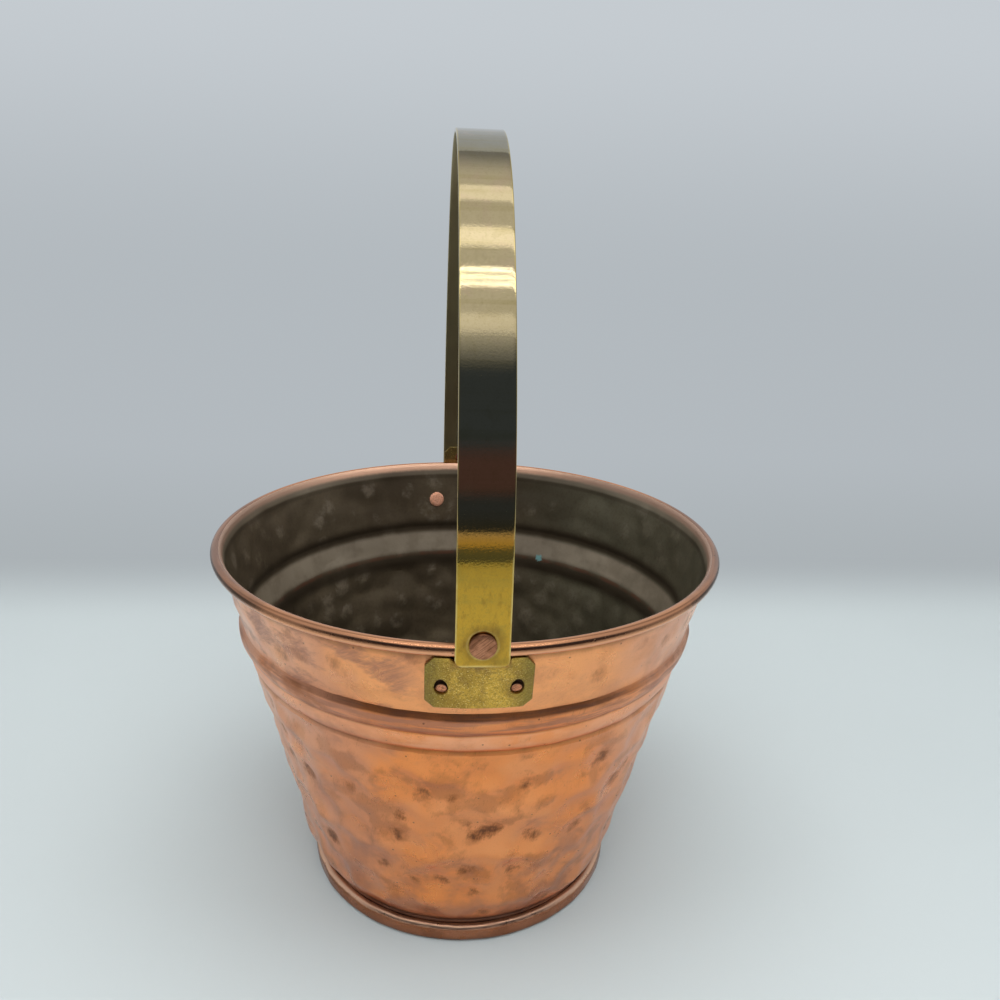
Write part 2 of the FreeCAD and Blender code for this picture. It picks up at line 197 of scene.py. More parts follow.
def copperOutside():
    look = copperLook
    material, tree, shader, place, axes = finish("hammeredCopper", 1.0)
    height, apart = axes[2], absolute(tree, axes[0])
    wrap = attribute(tree, "wrap", "Vector")
    hollow, dent, groove = (attribute(tree, name) for name in ("hollow", "dent", "groove"))
    cloud = noiseAt(tree, place, 42, 4, 0.6)
    patch = noiseAt(tree, place, 20, 4, 0.6, 0.3)
    blotch = noiseAt(tree, place, 13, 4, 0.52, 0.2)
    grain = noiseAt(tree, place, 1.4, 3, 0.6)
    speckle = noiseAt(tree, place, 0.55, 2, 0.6)
    streak = noiseAt(tree, stretched(tree, wrap, (1.0, 0.05, 1.0)), 0.6, 3, 0.65)
    smear = noiseAt(tree, stretched(tree, wrap, (0.55, 1.0, 1.0)), 12, 5, 0.62)
    drawn = noiseAt(tree, stretched(tree, wrap, (0.10, 1.0, 1.0)), 2.2, 4, 0.6)
    haze = noiseAt(tree, stretched(tree, wrap, (0.8, 1.0, 1.0)), 17, 4, 0.55, 0.15)
    sheen = stretched(tree, turned(tree, wrap, (0, 0, 18)), (1.0, 0.55, 1.0))
    sheen = noiseAt(tree, sheen, 10, 4, 0.55, 0.1)
    scour = noiseAt(tree, stretched(tree, turned(tree, wrap, (0, 0, 14)), (1.0, 0.03, 1.0)), 0.45, 2, 0.6)
    rub = noiseAt(tree, stretched(tree, turned(tree, wrap, (0, 0, -35)), (0.12, 1.0, 1.0)), 1.1, 3, 0.65)
    # where the shades lie
    neck, roll = step(tree, height, *look["neckFrom"]), step(tree, height, *look["rollFrom"])
    ridge, lower = between(tree, height, *look["ridgeBand"]), between(tree, height, *look["lowerBand"])
    veil = times(tree, step(tree, apart, *look["veilFrom"]), step(tree, patch, 0.34, 0.58))
    veilLeft = times(tree, step(tree, axes[0], *look["veilLeft"]), step(tree, cloud, 0.40, 0.58))
    haze = plus(tree, haze, times(tree, step(tree, height, *look["hazeBelow"]), 0.16))  # thicker low down
    haze = times(tree, step(tree, haze, 0.52, 0.72), minus(tree, 1.0, neck))
    # painted sheen: paler patches on the wall's flanks
    gleam = times(tree, step(tree, sheen, 0.28, 0.66, 0.25, 1.0), step(tree, apart, *look["flankSheenFrom"]))
    brush = times(tree, step(tree, scour, 0.56, 0.72), step(tree, blotch, 0.42, 0.60))
    brush = times(tree, brush, step(tree, neck, 1.0, 0.0, 0.2, 1.0))
    ragged = aboutZero(tree, noiseAt(tree, place, 5, 4, 0.62, 0.2), 0.34)
    ragged = plus(tree, hollow, plus(tree, ragged, aboutZero(tree, scour, 0.16)))
    picked = step(tree, noiseAt(tree, place, 23, 4, 0.6), 0.44, 0.58)
    spot = times(tree, step(tree, ragged, 0.14, 0.03), picked, dent)
    core = times(tree, step(tree, ragged, 0.055, -0.03), picked, dent)
    smudge = times(tree, neck, step(tree, axes[0], *look["smudgeLeft"], 0.25, 1.0))
    smudge = times(tree, step(tree, smear, 0.47, 0.61), smudge, step(tree, rub, 0.30, 0.66, 0.55, 1.0))
    # the roll's flanks, darker with painted shade and a streaky dull patina
    flank = step(tree, plus(tree, apart, aboutZero(tree, patch, 0.03)), *look["dullFrom"])
    flank = times(tree, flank, step(tree, axes[1], *look["dullBefore"]))
    dull = times(tree, flank, step(tree, drawn, 0.36, 0.62, 0.70, 1.0))
    pit = minus(tree, 1.0, step(tree, cellsAt(tree, place, 6.0), 0.035, 0.085))
    # painted shade in the creases, on the roll and at the seam, broken up by a noise and heavier on the
    # roll's flanks
    dirtAndShade = times(tree, groove, step(tree, blotch, 0.25, 0.6, 0.65, 1.0))
    deeper = step(tree, times(tree, roll, flank), 0.0, 1.0, 0.8, 1.4)
    colour = blend(tree, step(tree, cloud, 0.38, 0.62), look["bright"], look["peach"])
    colour = coated(tree, colour, look, [
        ("satin", neck),
        ("pink", calc(tree, "MAXIMUM", veil, veilLeft), 0.55),
        ("brown", step(tree, blotch, 0.50, 0.63), dent, 0.42),  # soft clouds
        ("mauve", haze, 0.48),
        ("flankSheen", gleam, 0.68),  # painted sheen on the flanks, standing in for reflections
        ("brown", brush, 0.42),  # scouring marks
        ("brown", spot, 0.74),  # stain round a blow
        ("tarnish", core, 0.82),  # and its dark middle
        ("mauve", smudge, 0.76),
        ("brown", step(tree, speckle, 0.56, 0.74), step(tree, neck, 0.0, 1.0, 0.16, 0.24)),
        ("mauve", ridge, step(tree, drawn, 0.42, 0.62, 0.10, 0.70)),  # streaks along the ridge
        ("brown", ridge, step(tree, smear, 0.52, 0.68, 0.0, 0.6)),
        ("ridge", lower, step(tree, smear, 0.62, 0.42, 0.2, 0.8)),
        # the roll, with painted shade and a dull patina on its flanks
        (blend(tree, dull, look["roll"], look["rollDull"]), roll),
        ("dirtAndShade", pit, 0.6),
        # painted shade in the creases, on the roll and at the seam
        ("dirtAndShade", calc(tree, "MULTIPLY", dirtAndShade, deeper, True)),
        # painted shade in the throat above the foot
        ("shadeColour", step(tree, height, *look["throatBelow"], 0.0, 0.8)),
    ])
    rough = plus(tree, look["roughness"], times(tree, spot, 0.16))
    rough = plus(tree, rough, times(tree, step(tree, patch, 0.35, 0.65), 0.08))
    rough = plus(tree, minus(tree, rough, times(tree, roll, 0.15)), times(tree, ridge, 0.10))
    rough = calc(tree, "ADD", rough, times(tree, groove, 0.15), True)
    rise = plus(tree, streak, speckle, times(tree, grain, 0.7))
    fine = bumpFrom(tree, times(tree, rise, step(tree, roll, 1.0, 0.0, 0.06, 1.0)), 0.042)
    cover(tree, shader, colour, rough, bumpFrom(tree, pit, -0.10, fine))
    return material


insideLook = {
    "olive": (0.185, 0.142, 0.088), "dark": (0.088, 0.066, 0.043), "pale": (0.43, 0.355, 0.26),
    "green": (0.150, 0.148, 0.098), "red": (0.20, 0.075, 0.045), "verdigris": (0.30, 0.60, 0.58),
    "lip": (0.90, 0.53, 0.355), "lipDull": (0.36, 0.225, 0.160), "metallic": 0.7,
    "greenRight": (0.0, 0.07), "beadBand": (0.1055, 0.1085, 0.1150, 0.1178),
    "redBand": (0.1046, 0.1056, 0.1062, 0.1072), "darkBand": (0.1432, 0.1442, 0.1450, 0.1460),
    "rubbedFrom": (0.1450, 0.1464), "lipFrom": (0.1474, 0.1494),
    "lipMiddle": -0.012, "lipShine": (0.085, 0.028),
    "verdigrisSpot": (0.0410, 0.0775, 0.1067), "verdigrisReach": (0.0036, 0.0026),
}


def copperInside():
    look = insideLook
    material, tree, shader, place, axes = finish("tarnishedInside", look["metallic"])
    height = axes[2]
    groove, hollow = attribute(tree, "groove"), attribute(tree, "hollow")
    cloud = noiseAt(tree, place, 24, 4, 0.6)
    blotch = noiseAt(tree, place, 9, 4, 0.6)
    grain = noiseAt(tree, place, 1.3, 3, 0.6)
    ragged = plus(tree, hollow, aboutZero(tree, noiseAt(tree, place, 5, 4, 0.65, 0.6), 0.36))
    rubbedAndSheen = times(tree, step(tree, ragged, 0.17, 0.0), step(tree, blotch, 0.34, 0.58))
    lip = step(tree, plus(tree, height, times(tree, grain, 0.0008)), *look["lipFrom"])
    # painted reflection: the lip is brighter near the middle, at the front and the back, than at the sides
    shone = step(tree, absolute(tree, minus(tree, axes[0], look["lipMiddle"])), *look["lipShine"])
    fleck = plus(tree, distanceTo(tree, place, look["verdigrisSpot"]), times(tree, grain, 0.003))
    colour = blend(tree, step(tree, cloud, 0.30, 0.72, 0.30, 1.0), look["dark"], look["olive"])
    colour = coated(tree, colour, look, [
        ("pale", rubbedAndSheen, 0.52),  # the blows stand proud here: rubbing, and a painted highlight on their tops
        ("green", step(tree, axes[0], *look["greenRight"], 0.0, 0.6)),
        ("dark", step(tree, grain, 0.44, 0.70), 0.3),
        # painted highlight along the bead's inside
        ("pale", between(tree, height, *look["beadBand"]), step(tree, blotch, 0.30, 0.62, 0.6, 0.9)),
        # painted shade in bands on the bead's inside and round the edge of the floor
        ("dark", groove, 0.85),
        ("red", between(tree, height, *look["redBand"]), step(tree, blotch, 0.40, 0.62, 0.1, 0.65)),
        ("dark", between(tree, height, *look["darkBand"]), 0.5),
        ("pale", step(tree, height, *look["rubbedFrom"], 0.0, 0.55)),  # below the rim
        (blend(tree, shone, look["lipDull"], look["lip"]), lip),
        ("verdigris", step(tree, fleck, *look["verdigrisReach"])),
    ])
    feed(tree, shader.inputs["Metallic"], minus(tree, look["metallic"], times(tree, lip, 0.4)))
    cover(tree, shader, colour, step(tree, cloud, 0.3, 0.7, 0.36, 0.50), bumpFrom(tree, grain, 0.045))
    return material


footLook = {
    "dull": (0.33, 0.128, 0.066), "fair": (0.46, 0.190, 0.102), "fold": (0.99, 0.60, 0.40),
    "brown": copperLook["brown"], "tarnish": copperLook["tarnish"], "shadeColour": copperLook["shadeColour"],
    "foldHighlightFrom": (0.0058, 0.0067), "lowBelow": (0.0038, 0.0004), "satinFrom": (0.0040, 0.0058),
}


def copperFoot():
    look = footLook
    material, tree, shader, place, axes = finish("footCopper", 1.0)
    height = axes[2]
    wrap, groove = attribute(tree, "wrap", "Vector"), attribute(tree, "groove")
    cloud = noiseAt(tree, place, 20, 4, 0.6)
    patch = noiseAt(tree, place, 6, 4, 0.65)
    grain = noiseAt(tree, place, 1.2, 3, 0.6)
    streak = noiseAt(tree, stretched(tree, wrap, (0.06, 1.0, 1.0)), 0.7, 3, 0.65)
    edge = plus(tree, height, aboutZero(tree, patch, 0.0013))  # uneven top of the fold, where a highlight is painted
    low = times(tree, step(tree, height, *look["lowBelow"]), step(tree, grain, 0.3, 0.6, 0.5, 1.0))
    colour = blend(tree, step(tree, cloud, 0.36, 0.62), look["dull"], look["fair"])
    colour = coated(tree, colour, look, [
        ("brown", step(tree, patch, 0.48, 0.66), 0.6),
        ("brown", step(tree, streak, 0.55, 0.75), 0.4),
        # painted highlight along the top of the fold, which is also worn bright
        ("fold", step(tree, edge, *look["foldHighlightFrom"]), 0.9),
        ("tarnish", low, 0.75),
        # painted shade in the gap between the fold and the wall
        ("shadeColour", groove, 0.85),
    ])
    rough = times(tree, step(tree, height, *look["satinFrom"]), 0.10)
    rough = plus(tree, step(tree, patch, 0.3, 0.7, 0.16, 0.30), rough)
    cover(tree, shader, colour, rough, bumpFrom(tree, plus(tree, streak, grain), 0.022))
    return material


strapLook = {
    "gold": (0.60, 0.350, 0.045), "pale": (0.66, 0.535, 0.315), "green": (0.34, 0.26, 0.055),
    "red": (0.56, 0.25, 0.13), "steel": (0.315, 0.305, 0.265), "blush": (0.66, 0.46, 0.34),
    "grime": (0.20, 0.105, 0.030), "worn": (0.80, 0.62, 0.24), "under": (0.44, 0.375, 0.215),
    "paleFrom": (0.1845, 0.1960), "steelFrom": (0.286, 0.300), "redBand": (0.194, 0.203, 0.210, 0.216),
    "polishedTo": (0.180, 0.192), "blushFrom": (0.232, 0.256), "stainBelow": (0.181, 0.164),
    "speckBelow": (0.200, 0.180), "satinBelow": (0.180, 0.166), "footBelow": (0.1469, 0.1462),
    "edgeFrom": (0.0078, 0.0083), "underFrom": (-0.0005, -0.0007),
    "pivot": (0.0, 0.0, 0.1534), "grimeReach": (0.0125, 0.0080),
    "haloBand": (0.0043, 0.0047, 0.0048, 0.0054),
}


def brassStrap():
    look = strapLook
    material, tree, shader, place, axes = finish("polishedBrass", 1.0)
    height = axes[2]
    wrap = attribute(tree, "wrap", "Vector")
    flat = split(tree, wrap)
    cloud = noiseAt(tree, place, 26, 3, 0.55)
    grain = noiseAt(tree, place, 0.7, 3, 0.65)
    tint = noiseAt(tree, place, 11, 4, 0.6, 0.6)
    along = noiseAt(tree, stretched(tree, wrap, (1.0, 0.03, 1.0)), 0.55, 3, 0.65)
    across = noiseAt(tree, stretched(tree, wrap, (0.03, 1.0, 1.0)), 4.5, 3, 0.6)
    stain = noiseAt(tree, stretched(tree, wrap, (1.0, 0.5, 1.0)), 2.2, 5, 0.7)
    stain = step(tree, stain, 0.48, 0.70, 0.0, 0.42)
    polished = step(tree, height, *look["polishedTo"], 1.0, 0.35)
    reach = distanceTo(tree, stretched(tree, place, (1.0, 0.0, 1.0)), look["pivot"])
    grime = plus(tree, reach, times(tree, tint, 0.008))
    rubbedAndSheen = step(tree, absolute(tree, flat[0]), *look["edgeFrom"])
    rubbedAndSheen = calc(tree, "MAXIMUM", rubbedAndSheen, step(tree, height, *look["footBelow"]))
    speck = step(tree, cellsAt(tree, place, 5.0), 0.075, 0.030, 0.0, 0.7)
    under = step(tree, flat[2], *look["underFrom"])  # the face turned to the bucket
    # painted reflection: the brass is tinted by height, gold low down, paler higher up and grey at the crown
    colour = blend(tree, step(tree, height, *look["paleFrom"]), look["gold"], look["pale"])
    colour = coated(tree, colour, look, [
        ("steel", step(tree, height, *look["steelFrom"]), 0.8),
        ("red", between(tree, height, *look["redBand"]), step(tree, cloud, 0.34, 0.52), 0.35),
        ("green", step(tree, across, 0.48, 0.68), 0.22),
        ("blush", step(tree, tint, 0.50, 0.68), step(tree, height, *look["blushFrom"]), 0.28),
        ("green", step(tree, tint, 0.46, 0.34, 0.0, 0.30), polished),
        ("green", step(tree, grain, 0.48, 0.70, 0.0, 0.42), polished),
        ("grime", step(tree, grime, *look["grimeReach"], 0.0, 0.55)),
        ("worn", between(tree, reach, *look["haloBand"]), step(tree, tint, 0.36, 0.60, 0.1, 0.4)),
        ("grime", stain, step(tree, height, *look["stainBelow"], 0.15, 1.0)),
        ("worn", rubbedAndSheen, step(tree, tint, 0.34, 0.58, 0.25, 0.75)),  # along the edges and the lower end: wear, and a painted highlight on their rounding
        ("grime", speck, step(tree, height, *look["speckBelow"])),
        ("under", under),
    ])
    rough = times(tree, step(tree, height, *look["satinBelow"]), 0.16)
    rough = plus(tree, step(tree, along, 0.3, 0.7, 0.03, 0.06), rough)
    rough = calc(tree, "ADD", rough, times(tree, under, 0.42), True)
    wave = bumpFrom(tree, across, 0.010)
    cover(tree, shader, colour, rough, bumpFrom(tree, plus(tree, along, grain), 0.008, wave))
    return material


earLook = {
    "dull": (0.43, 0.260, 0.046), "gold": (0.72, 0.445, 0.075), "green": (0.20, 0.165, 0.045),
    "cast": (0.20, 0.125, 0.026), "pit": (0.075, 0.048, 0.016), "rear": (0.30, 0.25, 0.13),
    "brown": (0.26, 0.145, 0.05), "glitter": (0.95, 0.74, 0.26),
    "greenFrom": (0.0085, 0.0165), "rearFrom": (0.0, 0.01), "glitterWithin": (0.017, 0.009),
}


def brassEar():
    look = earLook
    material, tree, shader, place, axes = finish("dullBrass", 0.9)
    cloud = noiseAt(tree, place, 9, 4, 0.6)
    grain = noiseAt(tree, place, 0.6, 3, 0.7)
    sparkle = noiseAt(tree, place, 0.42, 1, 0.5)
    brown = noiseAt(tree, place, 6, 3, 0.6, 0.4)
    side = plus(tree, absolute(tree, axes[0]), aboutZero(tree, cloud, 0.006))
    pit = step(tree, cellsAt(tree, place, 1.4), 0.22, 0.08)
    colour = blend(tree, step(tree, cloud, 0.34, 0.62), look["dull"], look["gold"])
    colour = coated(tree, colour, look, [
        ("green", step(tree, side, *look["greenFrom"], 0.0, 0.7)),
        ("cast", step(tree, grain, 0.46, 0.66), 0.55),
        ("pit", pit, 0.5),
        ("rear", step(tree, axes[1], *look["rearFrom"], 0.0, 0.6)),
        ("brown", step(tree, brown, 0.52, 0.68, 0.0, 0.45)),
        # painted glints: bright specks over the middle of the ear
        ("glitter", step(tree, sparkle, 0.61, 0.71), step(tree, side, *look["glitterWithin"], 0.25, 0.8)),
    ])
    skin = bumpFrom(tree, plus(tree, grain, sparkle), 0.06)
    cover(tree, shader, colour, step(tree, grain, 0.3, 0.7, 0.32, 0.54), bumpFrom(tree, pit, -0.07, skin))
    return material


rivetLook = {
    "dull": (0.42, 0.175, 0.090), "fresh": (0.62, 0.275, 0.150), "filed": (0.15, 0.062, 0.034),
    "dirtAndShade": (0.10, 0.050, 0.026), "insideHead": (0.82, 0.42, 0.28), "shadeColour": (0.012, 0.008, 0.006),
    "outerFrom": (-0.0006, -0.0003), "endAcross": 0.0121, "endHeight": 0.1321,
    "sunkFrom": (0.00165, 0.00195), "shade": 0.95, "headDull": 0.7,
}


def copperRivet(name, scratchTurn, light, roughness, throughWall):
    look = rivetLook
    material, tree, shader, place, axes = finish(name, 1.0)
    grain = noiseAt(tree, place, 0.9, 3, 0.6)
    cloud = noiseAt(tree, place, 3.2, 3, 0.6)
    filed = stretched(tree, turned(tree, place, (0, scratchTurn, 0)), (0.05, 1.0, 1.0))
    filed = noiseAt(tree, filed, 0.28, 2, 0.6)
    dull, fresh = ([c * light for c in look[shade]] for shade in ("dull", "fresh"))
    coats = [("filed", step(tree, filed, 0.46, 0.64), 0.7), ("dirtAndShade", step(tree, grain, 0.58, 0.74), 0.5)]
    if throughWall:
        # paler heads inside the bucket, and painted shadow round the ends outside, widest at the top of each
        # hole
        radius = distanceTo(tree, vectorCalc(tree, "MULTIPLY", place, (1.0, 1.0, 0.0)), (0.0, 0.0, 0.0))
        wall = plus(tree, times(tree, axes[2], wallSlope), wallAtFloor * mm)
        outer = step(tree, minus(tree, radius, wall), *look["outerFrom"])
        inner = times(tree, minus(tree, 1.0, outer), look["shade"])
        feed(tree, shader.inputs["Metallic"], minus(tree, 1.0, times(tree, inner, look["headDull"])))
        across = minus(tree, absolute(tree, axes[0]), look["endAcross"])
        up = minus(tree, axes[2], look["endHeight"])
        reach = plus(tree, calc(tree, "POWER", across, 2.0), calc(tree, "POWER", up, 2.0))
        sunk = step(tree, calc(tree, "SQRT", reach), *look["sunkFrom"])
        coats += [("insideHead", inner, step(tree, grain, 0.36, 0.62, 0.95, 0.40)),
                  ("shadeColour", sunk, times(tree, outer, look["shade"]))]
    colour = coated(tree, blend(tree, step(tree, cloud, 0.34, 0.66), dull, fresh), look, coats)
    rough = step(tree, filed, 0.3, 0.7, roughness, roughness + 0.18)
    cover(tree, shader, colour, rough, bumpFrom(tree, filed, 0.07))
    return material


wireLook = {"iron": (0.16, 0.155, 0.15), "rust": (0.14, 0.065, 0.03), "black": (0.06, 0.05, 0.045)}


def ironWire():
    look = wireLook
    material, tree, shader, place, axes = finish("ironWire", 0.9)
    grain = noiseAt(tree, place, 0.8, 3, 0.6)
    rust = noiseAt(tree, place, 5, 4, 0.6)
    colour = blend(tree, step(tree, rust, 0.45, 0.65), look["iron"], look["rust"])
    colour = coated(tree, colour, look, [("black", step(tree, grain, 0.5, 0.7), 0.5)])
    cover(tree, shader, colour, step(tree, grain, 0.3, 0.7, 0.42, 0.65), bumpFrom(tree, grain, 0.04))
    return material


hammeredCopper, tarnishedInside, footCopper = copperOutside(), copperInside(), copperFoot()
polishedBrass, dullBrass = brassStrap(), brassEar()
rivetFinishes = {
    "earRivetCopper": {"scratchTurn": 35, "light": 1.5, "roughness": 0.50, "throughWall": True},
    "pivotRivetCopper": {"scratchTurn": 40, "light": 0.92, "roughness": 0.30, "throughWall": False},
}
earRivetCopper, pivotRivetCopper = (copperRivet(name, **own) for name, own in rivetFinishes.items())
print("finishes ready")


# helpers for meshes and geometry node trees

def arc(centre, radius, start, end, count):
    turns = [math.radians(start + (end - start) * i / count) for i in range(count + 1)]
    return [(centre[0] + radius * math.cos(a), centre[1] + radius * math.sin(a)) for a in turns]


def bulged(first, last, bulge, count):
    chord = Vector(last) - Vector(first)
    side = Vector((-chord.y, chord.x)).normalized()
    half = chord.length / 2
    halfTurn = 2 * math.atan(bulge / half)  # half the arc's angle
    radius = half / math.sin(halfTurn)
    points = []
    for i in range(count + 1):
        turn = halfTurn * (2 * i / count - 1)
        along = (Vector(first) + Vector(last)) / 2 + chord.normalized() * radius * math.sin(turn)
        points.append(tuple(along + side * radius * (math.cos(turn) - math.cos(halfTurn))))
    return points


def straight(first, last, count):
    return [tuple(Vector(first).lerp(Vector(last), i / count)) for i in range(count + 1)]


def newObject(name, data):
    piece = bpy.data.objects.new(name, data)
    scene.collection.objects.link(piece)
    return piece


def mark(mesh, name, values, kind="FLOAT"):
    layer = mesh.attributes.new(name, kind, "POINT")
    layer.data.foreach_set("value" if kind == "FLOAT" else "vector", values)


def addModifier(piece, kind, **settings):
    modifier = piece.modifiers.new(kind.title(), kind)
    for key, value in settings.items():
        setattr(modifier, key, value)
    return modifier


wrapRadius = 0.085  # turns the angle round the wall into a length


def lathe(name, rows, segments, closed):
    # rows hold radius, height and the masks; each row becomes one ring
    rings = np.array([row[:2] for row in rows]) * mm
    turns = np.linspace(0, 2 * math.pi, segments, endpoint=False)
    total, flat = len(rows), np.zeros((len(rows), segments))
    radius, height = rings[:, :1], rings[:, 1:]
    points = np.stack([radius * np.cos(turns), radius * np.sin(turns), height + flat], axis=2)
    i, j = np.meshgrid(np.arange(total if closed else total - 1), np.arange(segments), indexing="ij")
    up, along = (i + 1) % total * segments, (j + 1) % segments
    faces = np.stack([i * segments + j, i * segments + along, up + along, up + j], axis=2)
    mesh = bpy.data.meshes.new(name)
    mesh.from_pydata(points.reshape(-1, 3).tolist(), [], faces.reshape(-1, 4).tolist())
    for column, mask in enumerate(("dent", "groove", "inside"), start=2):
        mark(mesh, mask, np.repeat([row[column] for row in rows], segments))
    wrap = np.stack([turns * wrapRadius + flat, height + flat, radius + flat], axis=2)
    mark(mesh, "wrap", wrap.ravel(), "FLOAT_VECTOR")
    outward = np.stack([np.cos(turns) + flat, np.sin(turns) + flat, flat], axis=2)
    mark(mesh, "outward", outward.ravel(), "FLOAT_VECTOR")
    tidyMesh(mesh)
    return newObject(name, mesh)


def tidyMesh(mesh):
    shape = bmesh.new()
    shape.from_mesh(mesh)
    bmesh.ops.remove_doubles(shape, verts=shape.verts, dist=1e-7)
    bmesh.ops.recalc_face_normals(shape, faces=shape.faces)
    for face in shape.faces:
        face.smooth = True
    shape.to_mesh(mesh)
    shape.free()


def newTree(name, sockets):
    tree = bpy.data.node_groups.new(name, "GeometryNodeTree")
    tree.interface.new_socket("Geometry", in_out="OUTPUT", socket_type="NodeSocketGeometry")
    for label, kind in [("Geometry", "Geometry")] + sockets:
        tree.interface.new_socket(label, in_out="INPUT", socket_type="NodeSocket" + kind)
    return tree, put(tree, "NodeGroupInput").outputs, put(tree, "NodeGroupOutput").inputs[0]


def named(tree, name, kind="FLOAT"):
    return fill(tree, "GeometryNodeInputNamedAttribute", {"Name": name}, data_type=kind)["Attribute"]


def dress(tree, geometry, coats):
    # realized geometry with one material, then others on the faces a mask picks
    geometry = fill(tree, "GeometryNodeRealizeInstances", {0: geometry})[0]
    for material, mask in coats:
        values = {"Geometry": geometry, "Material": material}
        if mask is not None:
            values["Selection"] = mask
        geometry = fill(tree, "GeometryNodeSetMaterial", values)[0]
    return geometry


def grow(piece, tree, values, sharpAngle):
    # runs the tree on the piece and keeps the result as a plain mesh
    sockets = {s.name: s.identifier for s in tree.interface.items_tree if s.in_out == "INPUT"}
    modifier = addModifier(piece, "NODES", node_group=tree)
    for label, value in values.items():
        modifier[sockets[label]] = value
    bake(piece, sharpAngle)


def bake(piece, sharpAngle):
    graph = bpy.context.evaluated_depsgraph_get()
    shaped = piece.evaluated_get(graph)
    mesh = bpy.data.meshes.new_from_object(shaped, preserve_all_data_layers=True, depsgraph=graph)
    piece.modifiers.clear()
    piece.data = mesh
    mesh.name = piece.name
    mesh.polygons.foreach_set("use_smooth", [True] * len(mesh.polygons))
    mesh.set_sharp_from_angle(angle=math.radians(sharpAngle))


hammerKeys = ("dentSize", "dentDepth", "lumpSize", "lumpDepth", "softness")
plainPlace = {"apart": (0.018, 0.027), "below": (0.1235, 0.1205)}  # no blows behind the ears


def hammerTree():
    sockets = [(key, "Float") for key in hammerKeys] + [("outside", "Material"), ("inside", "Material")]
    tree, given, result = newTree("hammerBlows", sockets)
    place = put(tree, "GeometryNodeInputPosition").outputs[0]
    axes = split(tree, place)
    blows = {"Vector": place, "Scale": calc(tree, "DIVIDE", 1.0, given["dentSize"])}
    blows["Smoothness"] = given["softness"]
    bowl = fill(tree, "ShaderNodeTexVoronoi", blows, feature="SMOOTH_F1")["Distance"]
    bowl = calc(tree, "POWER", bowl, 2.0)
    lumps = {"Vector": place, "Scale": calc(tree, "DIVIDE", 1.0, given["lumpSize"]), "Detail": 1.5}
    swell = aboutZero(tree, fill(tree, "ShaderNodeTexNoise", lumps)[0], given["lumpDepth"])
    rise = times(tree, minus(tree, bowl, 0.2), given["dentDepth"])
    apart = step(tree, absolute(tree, axes[0]), *plainPlace["apart"])
    plain = calc(tree, "MAXIMUM", apart, step(tree, axes[2], *plainPlace["below"]))
    amount = times(tree, plus(tree, rise, swell), named(tree, "dent"), plain)
    kept = {"Geometry": given["Geometry"], "Name": "hollow", "Value": bowl}
    kept = fill(tree, "GeometryNodeStoreNamedAttribute", kept, data_type="FLOAT", domain="POINT")[0]
    offset = vectorCalc(tree, "SCALE", named(tree, "outward", "FLOAT_VECTOR"), amount)
    moved = fill(tree, "GeometryNodeSetPosition", {"Geometry": kept, "Offset": offset})[0]
    mask = calc(tree, "GREATER_THAN", named(tree, "inside"), 0.5)
    feed(tree, result, dress(tree, moved, [(given["outside"], None), (given["inside"], mask)]))
    return tree


hammerBlows = hammerTree()


def hammered(name, rows, sizes, closed, outside, inside):
    piece = lathe(name, rows, sizes["segments"], closed)
    blows = {key: sizes[key] for key in hammerKeys}
    grow(piece, hammerBlows, {**blows, "outside": outside, "inside": inside}, sizes["sharpAngle"])
    return piece


# the wall: one sheet rolled over the rim wire, swaged, and folded into the foot seam

shellSizes = {
    "sheet": 0.8, "rollCentre": (99.85, 148.85), "rollInside": 1.35, "rollSweep": 255,
    "beadHeights": (121.2, 111.6, 103.9), "upperFlank": (118.9, 1.7), "upperBulge": 0.95,
    "lowerBulge": 0.7, "crease": 0.3, "wallHead": (102.3, 0.75), "wallPlain": 84.0,
    "shoulder": 24.0, "shoulderBulge": 0.76, "throat": (62.95, 8.7), "seamTop": 5.0,
    "turnCentre": (63.4, 2.1), "flangeTop": 6.2, "segments": 320, "sharpAngle": 27,
    "steps": {"roll": 30, "neck": 18, "flank": 5, "upper": 9, "lower": 10, "head": 3, "belly": 11,
              "wall": 38, "shoulder": 9, "seam": 6},
    "hollowHeights": (98, 99.6, 101.4, 103.2, 105.2, 107.2, 109.5, 112.5, 115.3, 117.6, 119.2, 121, 123.5),
    "hollowDepths": (0.57, 0.52, 0.24, -0.08, -0.22, 0.0, 0.4, 0.8, 1.2, 1.5, 1.25, 0.35, 0),
    "dentSize": 0.0125, "dentDepth": 0.0031, "lumpSize": 0.026, "lumpDepth": 0.0017, "softness": 0.38,
}

# where the wall is hammered and where shade is painted: heights in mm, or points along the roll, and shares
shellMasks = {
    "dent": ((0, 9, 17, 97, 102, 123, 128, 143, 147), (0, 0, 1, 1, 0.2, 0.2, 0.42, 0.42, 0)),
    "creaseReach": ((0.1, 1.2, 0.05), (1.2, 0.5, 0.45), (0.1, 1.5, 0.45)),  # up, down, share at a bead line
    "underRoll": ((142.5, 145.5), (0, 0.9)),
    "roll": ((0, 3, 22, 30), (0.4, 0.8, 1.0, 1.0)),
    "seam": ((7.6, 8.8, 10.0), (0.4, 0.1, 0)),
    "inside": ((98.5, 100.5, 104.6, 107, 116, 117.8, 121, 123.4), (0, 1, 1, 0, 0, 1, 1, 0)),
    "rollBack": (((0, 2, 5), (0.9, 0.5, 0)), ((9, 10.8, 14, 15.2), (0, 0.7, 0.7, 0)),
                 ((22, 27, 31), (0, 0.08, 0.25))),
    "lipPoints": 7, "rollMargin": 2, "hollowSheet": 1.03,
}


def wallAt(height, out=0.0):
    return (wallAtFloor + wallSlope * height + out, height)


